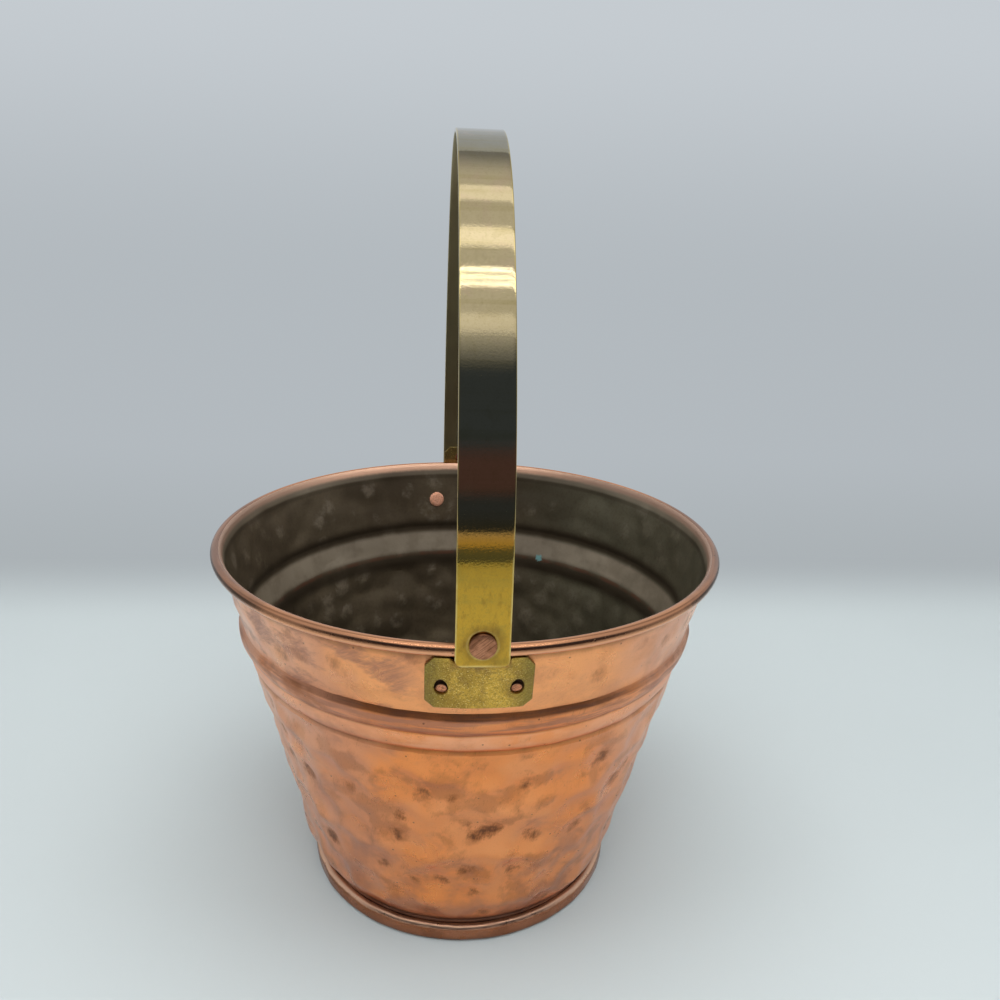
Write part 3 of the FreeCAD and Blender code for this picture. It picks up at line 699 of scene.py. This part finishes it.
def shellPath():
    s, steps = shellSizes, shellSizes["steps"]
    lean = math.degrees(math.atan(wallSlope))
    top, middle, bottom = s["beadHeights"]
    roll = arc(s["rollCentre"], s["rollInside"], 180 - lean - s["rollSweep"], 180 - lean, steps["roll"])
    neck = straight(roll[-1], wallAt(top), steps["neck"])[1:]
    crease, flank, head = wallAt(middle, s["crease"]), wallAt(*s["upperFlank"]), wallAt(*s["wallHead"])
    upper = straight(wallAt(top), flank, steps["flank"])[1:]
    upper += bulged(flank, crease, s["upperBulge"], steps["upper"])[1:]
    lower = bulged(crease, wallAt(bottom), s["lowerBulge"], steps["lower"])[1:]
    plain = wallAt(s["wallPlain"])
    wall = straight(wallAt(bottom), head, steps["head"])[1:] + straight(head, plain, steps["belly"])[1:]
    wall += straight(plain, wallAt(s["shoulder"]), steps["wall"])[1:]
    shoulder = bulged(wallAt(s["shoulder"]), s["throat"], s["shoulderBulge"], steps["shoulder"])[1:]
    turn = s["turnCentre"]
    fold = s["throat"][0] - turn[0]
    seam = [(s["throat"][0], s["seamTop"])] + arc(turn, -fold, 180, 360, steps["seam"])
    seam += [(turn[0] - fold, s["flangeTop"])]
    return roll, neck, upper, lower, wall, shoulder, seam


# painted shade along each bead line, fading up and down from it
def creaseShade(z):
    shares = []
    for line, (up, down, share) in zip(shellSizes["beadHeights"], shellMasks["creaseReach"]):
        gap = (z - line) / up if z > line else (line - z) / down
        shares.append(share * (1 - min(1, gap)))
    return max(shares)


def shellRows():
    s, masks = shellSizes, shellMasks
    parts = shellPath()
    path = np.array([p for part in parts for p in part])
    ends = np.cumsum([len(part) for part in parts])
    rollEnd, wallEnd = ends[0], ends[4]
    along = np.gradient(path, axis=0)
    along /= np.linalg.norm(along, axis=1)[:, None]
    normal = np.stack([along[:, 1], -along[:, 0]], axis=1)  # towards the inside of the bucket
    back = path + normal * s["sheet"]
    rows = []
    for i, (r, z) in enumerate(path):
        dent = np.interp(z, *masks["dent"]) if i >= rollEnd else 0.0
        # painted shade inside the curl of the roll, along the bead lines, under the roll and at the seam
        if i < rollEnd:
            groove = np.interp(i, *masks["roll"])
        elif i < wallEnd:
            groove = max(creaseShade(z), np.interp(z, *masks["underRoll"]))
        else:
            groove = np.interp(z, *masks["seam"])
        rows.append((r, z, dent, groove, 0.0))
    for i in range(len(back) - 1, -1, -1):
        r, z = back[i]
        inside = 1.0 if i >= rollEnd - masks["lipPoints"] else 0.0
        groove = np.interp(z, *masks["inside"])
        if inside and s["hollowHeights"][0] < z < s["hollowHeights"][-1]:
            r = wallAt(z)[0] - s["sheet"] * masks["hollowSheet"]
            r += np.interp(z, s["hollowHeights"], s["hollowDepths"])
        # on the roll's outside: painted shade at its tucked end, a painted dark reflection band on its outer
        # side, and a little more towards the inside
        if i < rollEnd - masks["rollMargin"]:
            groove = max(np.interp(i, *stretch) for stretch in masks["rollBack"])
        rows.append((r, z, rows[i][2], groove, inside))
    return rows


hammeredShell = hammered("hammeredShell", shellRows(), shellSizes, True, hammeredCopper, tarnishedInside)
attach(hammeredShell, "bucket")
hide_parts("bucket_body")
print("wall ready:", len(hammeredShell.data.polygons), "faces")


# the pan under the wall, its edge folded over the wall's flange

panSizes = {
    "outer": 65.5, "sheet": 0.8, "kick": 1.6, "kickRadius": 50.0,
    "restRadius": 55.0, "restEnd": 60, "floorEnd": 61.5,
    "hollowCentre": (64.25, 6.25), "foldOutside": 1.25, "foldInner": 63.0, "foldRound": 2.1, "foldTop": 7.5,
    "foldLip": ((0.12, 0.04), (0, 0.2), (0, 1.25)), "sideHeights": (2.9, 3.7, 4.5), "sideMiddle": 3.5,
    "innerHeights": (4, 1.2), "innerRound": 0.4,
    "hemBottom": 3.05, "crown": 0.22, "corner": (63.4, 2.1), "segments": 256, "sharpAngle": 50,
    "floorRings": range(0, 50, 5), "cornerSteps": 7, "foldSteps": 11, "hollowSteps": 6,
    "floorDent": (0.3, 15), "cornerDent": 0.5, "sideDent": 0.55,  # shares, the floor's full from 15 mm on
    "foldDent": ((0, 11, 14), (0.6, 0.4, 0.2)), "foldShade": ((12, 14), (0, 1)),  # by step of the fold
    "dentSize": 0.011, "dentDepth": 0.0008, "lumpSize": 0.014, "lumpDepth": 0.0016, "softness": 0.5,
}


def panRows():
    # radius, height, then how far each ring is hammered, painted with shade and inside
    s = panSizes
    corner = arc(s["corner"], s["corner"][1], 270, 360, s["cornerSteps"])
    foldCentre = (s["outer"] - s["foldRound"], s["foldTop"] - s["foldRound"])
    fold = arc(foldCentre, s["foldRound"], 0, 90, s["foldSteps"])
    fold += [(s["foldInner"] + back, s["foldTop"] - down) for back, down in s["foldLip"]]
    hollow = arc(s["hollowCentre"], s["foldOutside"] - s["sheet"], 180, 0, s["hollowSteps"])
    inner, upper = s["outer"] - s["sheet"], s["kick"] + s["sheet"]
    share, full = s["floorDent"]
    floor = [(r, share * min(1, r / full)) for r in s["floorRings"]]
    rows = [(r, s["kick"], dent, 0, 0) for r, dent in floor] + [(s["kickRadius"], s["kick"], 0.2, 0, 0)]
    rows += [(s["restRadius"], 0, 0, 0.2, 0), (s["restEnd"], 0, 0, 0, 0)]
    rows += [(r, z, s["cornerDent"] * i / s["cornerSteps"], 0, 0) for i, (r, z) in enumerate(corner)]
    side = [(s["outer"] - s["crown"] * (z / s["sideMiddle"] - 1) ** 2, z) for z in s["sideHeights"]]
    rows += [(r, z, s["sideDent"], 0, 0) for r, z in side]
    rows += [(r, z, np.interp(i, *s["foldDent"]), np.interp(i, *s["foldShade"]), 0)
             for i, (r, z) in enumerate(fold)]
    rows += [(fold[-1][0], s["hemBottom"], 0, 1, 0), (hollow[0][0], s["hemBottom"], 0, 1, 0)]
    rows += [(r, z, 0, 1, 0) for r, z in hollow]
    rows += [(inner, z, 0, 1, 1) for z in s["innerHeights"]]
    rows += [(inner - s["innerRound"], s["sheet"], 0, 1, 1), (s["floorEnd"], s["sheet"], 0, 0.8, 1)]
    rows += [(s["restRadius"], s["sheet"], 0.1, 0.2, 1), (s["kickRadius"], upper, 0.2, 0, 1)]
    return rows + [(r, upper, dent, 0, 1) for r, dent in reversed(floor)]


footPan = hammered("footPan", panRows(), panSizes, False, footCopper, tarnishedInside)
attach(footPan, "bucket")
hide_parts("base_pan")
print("pan ready")


# the strap: a flat blank, drilled and rounded at the ends, then bent along the arch

strapSizes = {
    "width": 17.0, "thickness": 1.5, "corner": 2.6, "hole": 2.08, "pivotUp": 7.5, "edge": 0.32,
    "halfSpan": 104.75, "footHeight": 145.9, "springing": 160.7, "flankRadius": 176.65, "crownRadius": 82.75,
    "rows": 220, "columns": 12, "ringShares": (1.0, 0.66, 0.33, 0.0), "sharpAngle": 50,
    "steps": {"foot": 12, "flank": 90, "crown": 130, "corner": 6},
    "sideShares": (0.82, 0.64, 0.46, 0.30), "footShares": (0.45, 0.2, 0.0, -0.2, -0.45),
}


def archPath():
    s, steps = strapSizes, strapSizes["steps"]
    flank = (-s["halfSpan"] + s["flankRadius"], s["springing"])
    fall = math.asin(flank[0] / (s["flankRadius"] - s["crownRadius"]))
    crown = (0.0, flank[1] + (s["flankRadius"] - s["crownRadius"]) * math.cos(fall))
    joint = 90 + math.degrees(fall)
    side = straight((-s["halfSpan"], s["footHeight"]), (-s["halfSpan"], s["springing"]), steps["foot"])
    side += arc(flank, s["flankRadius"], 180, joint, steps["flank"])[1:]
    path = side + arc(crown, s["crownRadius"], joint, 180 - joint, steps["crown"])[1:-1]
    return path + [(-y, z) for y, z in reversed(side)]


def drilledEnd(shape, columns, length, farEnd):
    # rings of faces from the outline of one end down to its hole
    s = strapSizes
    half, corner, plate = s["width"] / 2, s["corner"], 2 * s["pivotUp"]
    rim = [(x, plate) for x in columns]
    rim += [(half, plate * f) for f in s["sideShares"]]
    rim += arc((half - corner, corner), corner, 0, -90, s["steps"]["corner"])
    rim += [(half * f, 0.0) for f in s["footShares"]]
    rim += arc((corner - half, corner), corner, 270, 180, s["steps"]["corner"])
    rim += [(-half, plate * f) for f in reversed(s["sideShares"])]
    loops = []
    for f in s["ringShares"]:
        loop = []
        for x, y in rim:
            turn = math.atan2(y - s["pivotUp"], x)
            hole = (s["hole"] * math.cos(turn), s["pivotUp"] + s["hole"] * math.sin(turn))
            px, py = x * f + hole[0] * (1 - f), y * f + hole[1] * (1 - f)
            loop.append(shape.verts.new((px * mm, (length - py if farEnd else py) * mm, 0)))
        loops.append(loop)
    for outer, inner in zip(loops, loops[1:]):
        for i in range(len(rim)):
            k = (i + 1) % len(rim)
            shape.faces.new((outer[i], outer[k], inner[k], inner[i]))


def strapBlank(length):
    s = strapSizes
    columns = [-s["width"] / 2 + s["width"] * i / s["columns"] for i in range(s["columns"] + 1)]
    plate = 2 * s["pivotUp"]
    shape = bmesh.new()
    for farEnd in (False, True):
        drilledEnd(shape, columns, length, farEnd)
    last = None
    for j in range(s["rows"] + 1):
        y = plate + (length - 2 * plate) * j / s["rows"]
        line = [shape.verts.new((x * mm, y * mm, 0)) for x in columns]
        if last:
            for i in range(s["columns"]):
                shape.faces.new((last[i], last[i + 1], line[i + 1], line[i]))
        last = line
    mesh = bpy.data.meshes.new("strapBlank")
    bmesh.ops.remove_doubles(shape, verts=shape.verts, dist=1e-6)
    bmesh.ops.recalc_face_normals(shape, faces=shape.faces)
    shape.to_mesh(mesh)
    shape.free()
    blank = newObject("handleStrap", mesh)
    addModifier(blank, "SOLIDIFY", thickness=s["thickness"] * mm, offset=0)
    addModifier(blank, "BEVEL", width=s["edge"] * mm, segments=3, limit_method="ANGLE",
                angle_limit=math.radians(s["sharpAngle"]))
    bake(blank, s["sharpAngle"])
    flat = np.zeros(len(blank.data.vertices) * 3)
    blank.data.vertices.foreach_get("co", flat)
    mark(blank.data, "wrap", flat, "FLOAT_VECTOR")
    return blank


def bendTree():
    tree, given, result = newTree("bentStrip", [("arch", "Object"), ("finish", "Material")])
    line = fill(tree, "GeometryNodeObjectInfo", {"Object": given["arch"]})["Geometry"]
    flat = split(tree, put(tree, "GeometryNodeInputPosition").outputs[0])
    spot = {"Curves": line, "Length": flat[1]}
    spot = fill(tree, "GeometryNodeSampleCurve", spot, mode="LENGTH", use_all_curves=False)
    outward = vectorCalc(tree, "CROSS_PRODUCT", (1.0, 0.0, 0.0), spot["Tangent"])
    outward = vectorCalc(tree, "SCALE", vectorCalc(tree, "NORMALIZE", outward), flat[2])
    across = fill(tree, "ShaderNodeCombineXYZ", {0: flat[0]})[0]
    bent = vectorCalc(tree, "ADD", vectorCalc(tree, "ADD", spot["Position"], outward), across)
    moved = fill(tree, "GeometryNodeSetPosition", {"Geometry": given["Geometry"], "Position": bent})[0]
    feed(tree, result, dress(tree, moved, [(given["finish"], None)]))
    return tree


archLine = archPath()
archCurve = bpy.data.curves.new("archLine", "CURVE")
archCurve.dimensions = "3D"
spline = archCurve.splines.new("POLY")
spline.points.add(len(archLine) - 1)
for point, (y, z) in zip(spline.points, archLine):
    point.co = (0, y * mm, z * mm, 1)
arch = newObject("archLine", archCurve)
archLength = sum((Vector(b) - Vector(a)).length for a, b in zip(archLine, archLine[1:]))
handleStrap = strapBlank(archLength)
grow(handleStrap, bendTree(), {"arch": arch, "finish": polishedBrass}, strapSizes["sharpAngle"])
bpy.data.objects.remove(arch)
tidyMesh(handleStrap.data)
handleStrap.data.set_sharp_from_angle(angle=math.radians(strapSizes["sharpAngle"]))
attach(handleStrap, "handle")
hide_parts("handle_strap")
print("strap ready: %.1f mm of strip" % archLength)


# rivets: one turned shape set on its points

rivetSizes = {
    "spacing": 24.2, "height": 132.8, "shank": 1.98, "end": 0.62, "seat": 3.6,
    "headRadius": 3.65, "headTop": 1.9, "headSeat": 0.9, "headEdge": 0.62, "segments": 48, "sharpAngle": 42,
    "headRound": ((0, 0), (1.6, 0.03), (2.8, 0.14), (3.35, 0.34)),  # radius, and depth from the top
    "headTaper": 0.05, "collar": (-0.1, -0.05, 0.1, 0.12),
    "endRound": ((0, 0.3), (0.25, 0.04)), "endFlat": 1.0,
    "pivotHeight": 153.4, "pivotShank": 1.96, "pivotHead": 4.24, "pivotSeat": 105.7, "pivotTop": 106.8,
    "tail": 2.4, "tailSeat": 102.2, "tailTip": 101.4, "tailRound": ((0, 0), (1.2, 0.05), (2.0, 0.26)),
    "tailEdge": (0.06, 0.1), "pivotFoot": ((0.08, 0), (0, 0.12)),  # steps back from the edge, and up or down
    "pivotRound": ((0, 0.34), (0.12, 0.12), (0.36, 0)), "pivotCrown": ((2.4, 0.02), (0, 0.03)),
}


def rivetTree():
    tree, given, result = newTree("rivetsOnPoints", [("rivet", "Object"), ("finish", "Material")])
    rivet = fill(tree, "GeometryNodeObjectInfo", {"Object": given["rivet"]})["Geometry"]
    aim = {"Vector": named(tree, "aim", "FLOAT_VECTOR")}
    aim = fill(tree, "FunctionNodeAlignRotationToVector", aim, axis="Z")[0]
    placed = {"Points": given["Geometry"], "Instance": rivet, "Rotation": aim}
    placed = fill(tree, "GeometryNodeInstanceOnPoints", placed)[0]
    feed(tree, result, dress(tree, placed, [(given["finish"], None)]))
    return tree


rivetsOnPoints = rivetTree()


def setRivets(name, profile, spots, material, nodes):
    rivet = lathe(name + "Shape", [(r, h, 0, 0, 0) for r, h in profile], rivetSizes["segments"], False)
    mesh = bpy.data.meshes.new(name)
    mesh.from_pydata([spot for spot, aim in spots], [], [])
    mark(mesh, "aim", [c for spot, aim in spots for c in aim], "FLOAT_VECTOR")
    piece = newObject(name, mesh)
    grow(piece, rivetsOnPoints, {"rivet": rivet, "finish": material}, rivetSizes["sharpAngle"])
    bpy.data.objects.remove(rivet)
    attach(piece, "bucket")
    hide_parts(*nodes)


def earRivetProfile():
    s = rivetSizes
    shank, seat, end = s["shank"], s["seat"], s["end"]
    head = [(r, down - s["headTop"]) for r, down in s["headRound"]]
    head += [(s["headRadius"], s["headEdge"] - s["headTop"])]
    head += [(s["headRadius"] - s["headTaper"], -s["headSeat"]), (shank, -s["headSeat"])]
    collar = list(zip((shank, seat, seat, shank), s["collar"]))
    tip = [(shank - back, end - down) for back, down in s["endRound"]]
    return head + collar + tip + [(s["endFlat"], end), (0, end)]


def earRivetSpots():
    s = rivetSizes
    radius = wallAt(s["height"])[0]
    swing = math.asin(s["spacing"] / 2 / radius)
    lean = math.atan(wallSlope)
    spots = []
    for side in (-1, 1):
        for hand in (-1, 1):
            turn = side * math.pi / 2 + hand * swing
            spot = (radius * mm * math.cos(turn), radius * mm * math.sin(turn), s["height"] * mm)
            aim = (math.cos(lean) * math.cos(turn), math.cos(lean) * math.sin(turn), -math.sin(lean))
            spots.append((spot, aim))
    return spots


def pivotProfile():
    s = rivetSizes
    shank, head, seat, top = s["pivotShank"], s["pivotHead"], s["pivotSeat"], s["pivotTop"]
    taper, lip = s["tailEdge"]
    tail = [(r, s["tailTip"] + up) for r, up in s["tailRound"]] + [(s["tail"], s["tailSeat"] - lip)]
    tail += [(s["tail"] - taper, s["tailSeat"]), (shank, s["tailSeat"]), (shank, seat)]
    rim = [(head - back, seat + up) for back, up in s["pivotFoot"]]
    rim += [(head - back, top - down) for back, down in s["pivotRound"]]
    return tail + rim + [(r, top + up) for r, up in s["pivotCrown"]]


axisHeight = rivetSizes["pivotHeight"] * mm
setRivets("earRivets", earRivetProfile(), earRivetSpots(), earRivetCopper,
          ["front_ear_rivet_left", "front_ear_rivet_right", "rear_ear_rivet_left", "rear_ear_rivet_right"])
setRivets("pivotRivets", pivotProfile(), [((0, 0, axisHeight), (0, -1, 0)), ((0, 0, axisHeight), (0, 1, 0))],
          pivotRivetCopper, ["front_pivot_rivet", "rear_pivot_rivet"])
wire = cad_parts["rim_wire"]
wire.data.materials.clear()
wire.data.materials.append(ironWire())
print("rivets and wire ready")


# the ears keep the shape of the model, with the tab's step moved behind the strap and the edges worn round

earSizes = {
    "grid": 0.26, "passes": 2, "smoothing": 0.5, "sharpAngle": 80,
    "slice": 0.5, "margin": 1, "sliceHalf": 0.4, "tabHalf": 8.3, "ease": 1.6,
    "bend": 136.5, "shoulder": 145.4, "cadShoulder": 143.6,
    "cadStep": (134.0, 138.6, 146.2, 149.5), "step": (134.0, 142.0, 147.0, 149.5),
    "holeEdge": 2.3, "holeReach": 4.6, "holeUp": 0.70, "holeDown": 0.12, "holeDish": 0.30, "holeNear": 8,
}


def layShoulders(mesh):
    # the plate lies on the wall, and only the tab steps out, behind the strap
    s = earSizes
    first, last = s["cadStep"][0], s["cadStep"][-1]
    points = np.array([vertex.co for vertex in mesh.vertices]) / mm
    reach, level = np.hypot(points[:, 0], points[:, 1]), points[:, 2]
    heights = np.arange(first - s["margin"], last, s["slice"])
    tab = abs(points[:, 0]) < s["tabHalf"] - s["margin"]
    near = [reach[(abs(level - h) < s["sliceHalf"]) & tab] for h in heights]
    inside, outside = [n.min() for n in near], [n.max() for n in near]
    rest, thick, tabInside = inside[0] - wallAt(heights[0])[0], outside[0] - inside[0], inside[-1]
    rise = (s["shoulder"] - s["bend"]) / (s["cadShoulder"] - s["bend"])
    for vertex, (x, y, z), r in zip(mesh.vertices, points, reach):
        if not first < z < last:
            continue
        low, high = np.interp(z, heights, inside), np.interp(z, heights, outside)
        depth = (r - low) / (high - low)
        out = (low - wallAt(z)[0] - rest) / (tabInside - wallAt(z)[0] - rest)
        tabUp = np.interp(z, s["cadStep"], s["step"])
        tabReach = (wallAt(tabUp)[0] + rest) * (1 - out) + tabInside * out + (high - low) * depth
        plateUp = z if z < s["bend"] else s["bend"] + (z - s["bend"]) * rise
        plateReach = wallAt(plateUp)[0] + rest + thick * depth
        away = min(1, max(0, (abs(x) - s["tabHalf"]) / s["ease"]))
        up, laid = tabUp + (plateUp - tabUp) * away, tabReach + (plateReach - tabReach) * away
        vertex.co = (x * mm, math.copysign(math.sqrt(laid ** 2 - x ** 2), y) * mm, up * mm)


def openHoles(mesh):
    # the punch drew the holes upward and dished their edges
    s = earSizes
    for spot, aim in earRivetSpots():
        spot, aim = Vector(spot), Vector(aim)
        side = Vector((-aim.y, aim.x, 0)).normalized()
        up = aim.cross(side)
        for vertex in mesh.vertices:
            gap = vertex.co - spot
            u, v = gap.dot(side) / mm, gap.dot(up) / mm
            pull = min(1, max(0, (s["holeReach"] - math.hypot(u, v)) / (s["holeReach"] - s["holeEdge"])))
            if not pull or gap.length > s["holeNear"] * mm:
                continue
            pull *= pull * (3 - 2 * pull)
            vertex.co += up * v * pull * (s["holeUp"] if v > 0 else s["holeDown"]) * mm
            vertex.co -= aim * s["holeDish"] * pull * pull * mm


def wornEar(name, node):
    s = earSizes
    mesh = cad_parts[node].data.copy()
    mesh.materials.clear()
    tidyMesh(mesh)
    ear = newObject(name, mesh)
    addModifier(ear, "REMESH", mode="VOXEL", voxel_size=s["grid"] * mm)
    bake(ear, s["sharpAngle"])
    layShoulders(ear.data)
    openHoles(ear.data)
    addModifier(ear, "SMOOTH", factor=s["smoothing"], iterations=s["passes"])
    bake(ear, s["sharpAngle"])
    ear.data.materials.append(dullBrass)
    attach(ear, "bucket")
    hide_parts(node)


wornEar("frontEar", "front_ear")
wornEar("rearEar", "rear_ear")
print("ears ready")


# floor, backdrop, light and camera

stageLook = {
    "floor": (0.545, 0.595, 0.60), "floorPale": (0.575, 0.63, 0.635), "roughness": 0.75, "gloss": 0.2,
    "corner": (0.405, 0.44, 0.46), "wall": (0.45, 0.487, 0.517), "high": (0.56, 0.60, 0.635),
    "wallFrom": (0.24, 0.70), "highFrom": (0.05, 0.85), "cardFrom": (0.215, 0.34),
}
stageSizes = {"line": (-1.06, -0.6, 0.4, 1.0), "back": 1.5, "bend": 0.9, "top": 3.4, "halfWidth": 3.0}


def stageFinish():
    look = stageLook
    material, tree, shader, place, axes = finish("paleStage", 0.0)
    cloud = noiseAt(tree, place, 260, 2, 0.5)
    feed(tree, shader.inputs["Base Color"], blend(tree, cloud, look["floor"], look["floorPale"]))
    feed(tree, shader.inputs["Roughness"], look["roughness"])
    feed(tree, shader.inputs["Specular IOR Level"], look["gloss"])
    # the back of the sweep glows for camera and glossy rays, with painted shade low down and painted light
    # higher up
    glow = blend(tree, step(tree, axes[1], *look["wallFrom"]), look["corner"], look["wall"])
    glow = blend(tree, step(tree, axes[2], *look["highFrom"]), glow, look["high"])
    card = fill(tree, "ShaderNodeEmission", {"Color": glow})[0]
    rays = put(tree, "ShaderNodeLightPath").outputs
    seen = calc(tree, "MAXIMUM", rays["Is Camera Ray"], rays["Is Glossy Ray"])
    share = times(tree, seen, step(tree, axes[1], *look["cardFrom"]))
    mixed = fill(tree, "ShaderNodeMixShader", {0: share, 1: shader.outputs[0], 2: card})[0]
    feed(tree, tree.nodes["Material Output"].inputs[0], mixed)
    return material


def sweepStage():
    s = stageSizes
    line = [(y, 0.0) for y in s["line"]] + arc((s["back"], s["bend"]), s["bend"], 270, 360, 24)
    line += [(s["back"] + s["bend"], s["top"])]
    points = [(x, y, z) for y, z in line for x in (-s["halfWidth"], s["halfWidth"])]
    faces = [(2 * i, 2 * i + 1, 2 * i + 3, 2 * i + 2) for i in range(len(line) - 1)]
    mesh = bpy.data.meshes.new("sweep")
    mesh.from_pydata(points, [], faces)
    mesh.polygons.foreach_set("use_smooth", [True] * len(faces))
    mesh.materials.append(stageFinish())
    sweep = newObject("sweep", mesh)


sweepStage()

lampSetup = {
    "ceiling": {"place": (0.0, -0.05, 1.05), "aim": (0, 0, 0), "size": (1.1, 0.9), "watts": 6.6},
    "doorTop": {"place": (0.0, -0.75, 0.80), "aim": (0, -0.10, 0.02), "size": (1.0, 0.35), "watts": 3.6},
    "leftSide": {"place": (-0.95, -0.15, 0.55), "aim": (0, 0, 0.1), "size": (0.7, 0.8), "watts": 2.4},
    "rightSide": {"place": (0.95, -0.15, 0.55), "aim": (0, 0, 0.1), "size": (0.7, 0.8), "watts": 2.4},
}
stripSetup = {  # place in y, depth and watts of each strip
    "stripRear": (-0.015, 0.080, 0.075), "stripGlow": (-0.20, 0.055, 0.08),
    "stripOne": (-0.300, 0.004, 0.055), "stripTwo": (-0.323, 0.004, 0.055),
    "stripThree": (-0.346, 0.004, 0.055), "stripLow": (-0.49, 0.060, 0.03),
}
for stripName, (y, depth, watts) in stripSetup.items():
    strip = {"place": (0.0, y, 0.74), "aim": (0, -0.08, 0.2), "size": (0.62, depth), "watts": watts}
    lampSetup[stripName] = strip
for lampName, lamp in lampSetup.items():
    light = bpy.data.lights.new(lampName, "AREA")
    light.shape = "RECTANGLE"
    light.size, light.size_y = lamp["size"]
    light.energy = lamp["watts"]
    holder = newObject(lampName, light)
    holder.location = lamp["place"]
    holder.visible_glossy = lampName in stripSetup  # metal shows the room, not the lamp frames
    holder.rotation_euler = (Vector(lamp["aim"]) - Vector(lamp["place"])).to_track_quat("-Z", "Y").to_euler()

roomLight = {
    "ceiling": (0.60, 0.62, 0.62), "walls": (0.47, 0.495, 0.52), "behind": (0.27, 0.28, 0.29),
    "doorway": (0.035, 0.047, 0.068), "doorWarm": (0.075, 0.052, 0.058), "doorFoot": (0.027, 0.033, 0.043),
    "tableSide": (0.11, 0.14, 0.24), "tableEdge": (0.46, 0.40, 0.36), "seen": (0.52, 0.56, 0.59),
    # where each lies, by the direction's height or depth
    "behindFrom": (0.30, 0.60), "wallsBefore": (0.34, 0.10), "ceilingFrom": (0.80, 0.99),
    "openingBefore": (-0.15, -0.3), "openingFrom": (0.66, 0.80),
    "frontBefore": (-0.25, -0.45), "frontBelow": (0.79, 0.60), "warmBelow": (0.36, 0.26),
    "footBelow": (0.16, 0.09), "tableBelow": (-0.10, -0.118), "edgeBand": (-0.118, -0.104, -0.056, -0.038),
}


def roomWorld():
    look = roomLight
    world = bpy.data.worlds.new("room")
    scene.world = world
    world.use_nodes = True
    tree = world.node_tree
    tree.nodes.clear()
    axes = split(tree, put(tree, "ShaderNodeTexCoord").outputs["Generated"])
    side, rise = axes[1], axes[2]
    opening = times(tree, step(tree, side, *look["openingBefore"]), step(tree, rise, *look["openingFrom"]))
    front = times(tree, step(tree, side, *look["frontBefore"]), step(tree, rise, *look["frontBelow"]))
    colour = blend(tree, step(tree, rise, *look["behindFrom"]), look["walls"], look["behind"])
    colour = coated(tree, colour, look, [
        ("walls", step(tree, side, *look["wallsBefore"])),
        ("ceiling", step(tree, rise, *look["ceilingFrom"])),
        ("ceiling", opening),
        ("doorway", front),
        ("doorWarm", front, step(tree, rise, *look["warmBelow"])),
        ("doorFoot", front, step(tree, rise, *look["footBelow"])),
        ("tableSide", front, step(tree, rise, *look["tableBelow"])),
        ("tableEdge", between(tree, rise, *look["edgeBand"]), front),
        ("seen", put(tree, "ShaderNodeLightPath").outputs["Is Camera Ray"]),
    ])
    shade = fill(tree, "ShaderNodeBackground", {0: colour})[0]
    fill(tree, "ShaderNodeOutputWorld", {0: shade})


roomWorld()

cameraSetup = {  # place in mm, turns in degrees, focal length and picture width in pixels
    "place": (-17.5, -341.6, 279.0), "yaw": 5.07, "pitch": 18.52, "roll": 2.16,
    "focal": 880, "picture": 1000, "sensor": 36, "clip": 0.01,
}


def photoCamera():
    s = cameraSetup
    yaw, pitch, roll = (math.radians(s[k]) for k in ("yaw", "pitch", "roll"))
    right = Vector((math.cos(yaw), -math.sin(yaw), 0))
    ahead = Vector((math.sin(yaw) * math.cos(pitch), math.cos(yaw) * math.cos(pitch), -math.sin(pitch)))
    up = right.cross(ahead)
    across = right * math.cos(roll) + up * math.sin(roll)
    upright = up * math.cos(roll) - right * math.sin(roll)
    data = bpy.data.cameras.new("photoCamera")
    data.sensor_width = s["sensor"]
    data.lens = data.sensor_width * s["focal"] / s["picture"]
    data.clip_start = s["clip"]
    camera = newObject("photoCamera", data)
    turn = Matrix((across, upright, -ahead)).transposed().to_4x4()
    camera.matrix_world = Matrix.Translation(Vector(s["place"]) * mm) @ turn
    scene.camera = camera


photoCamera()
print("stage ready")
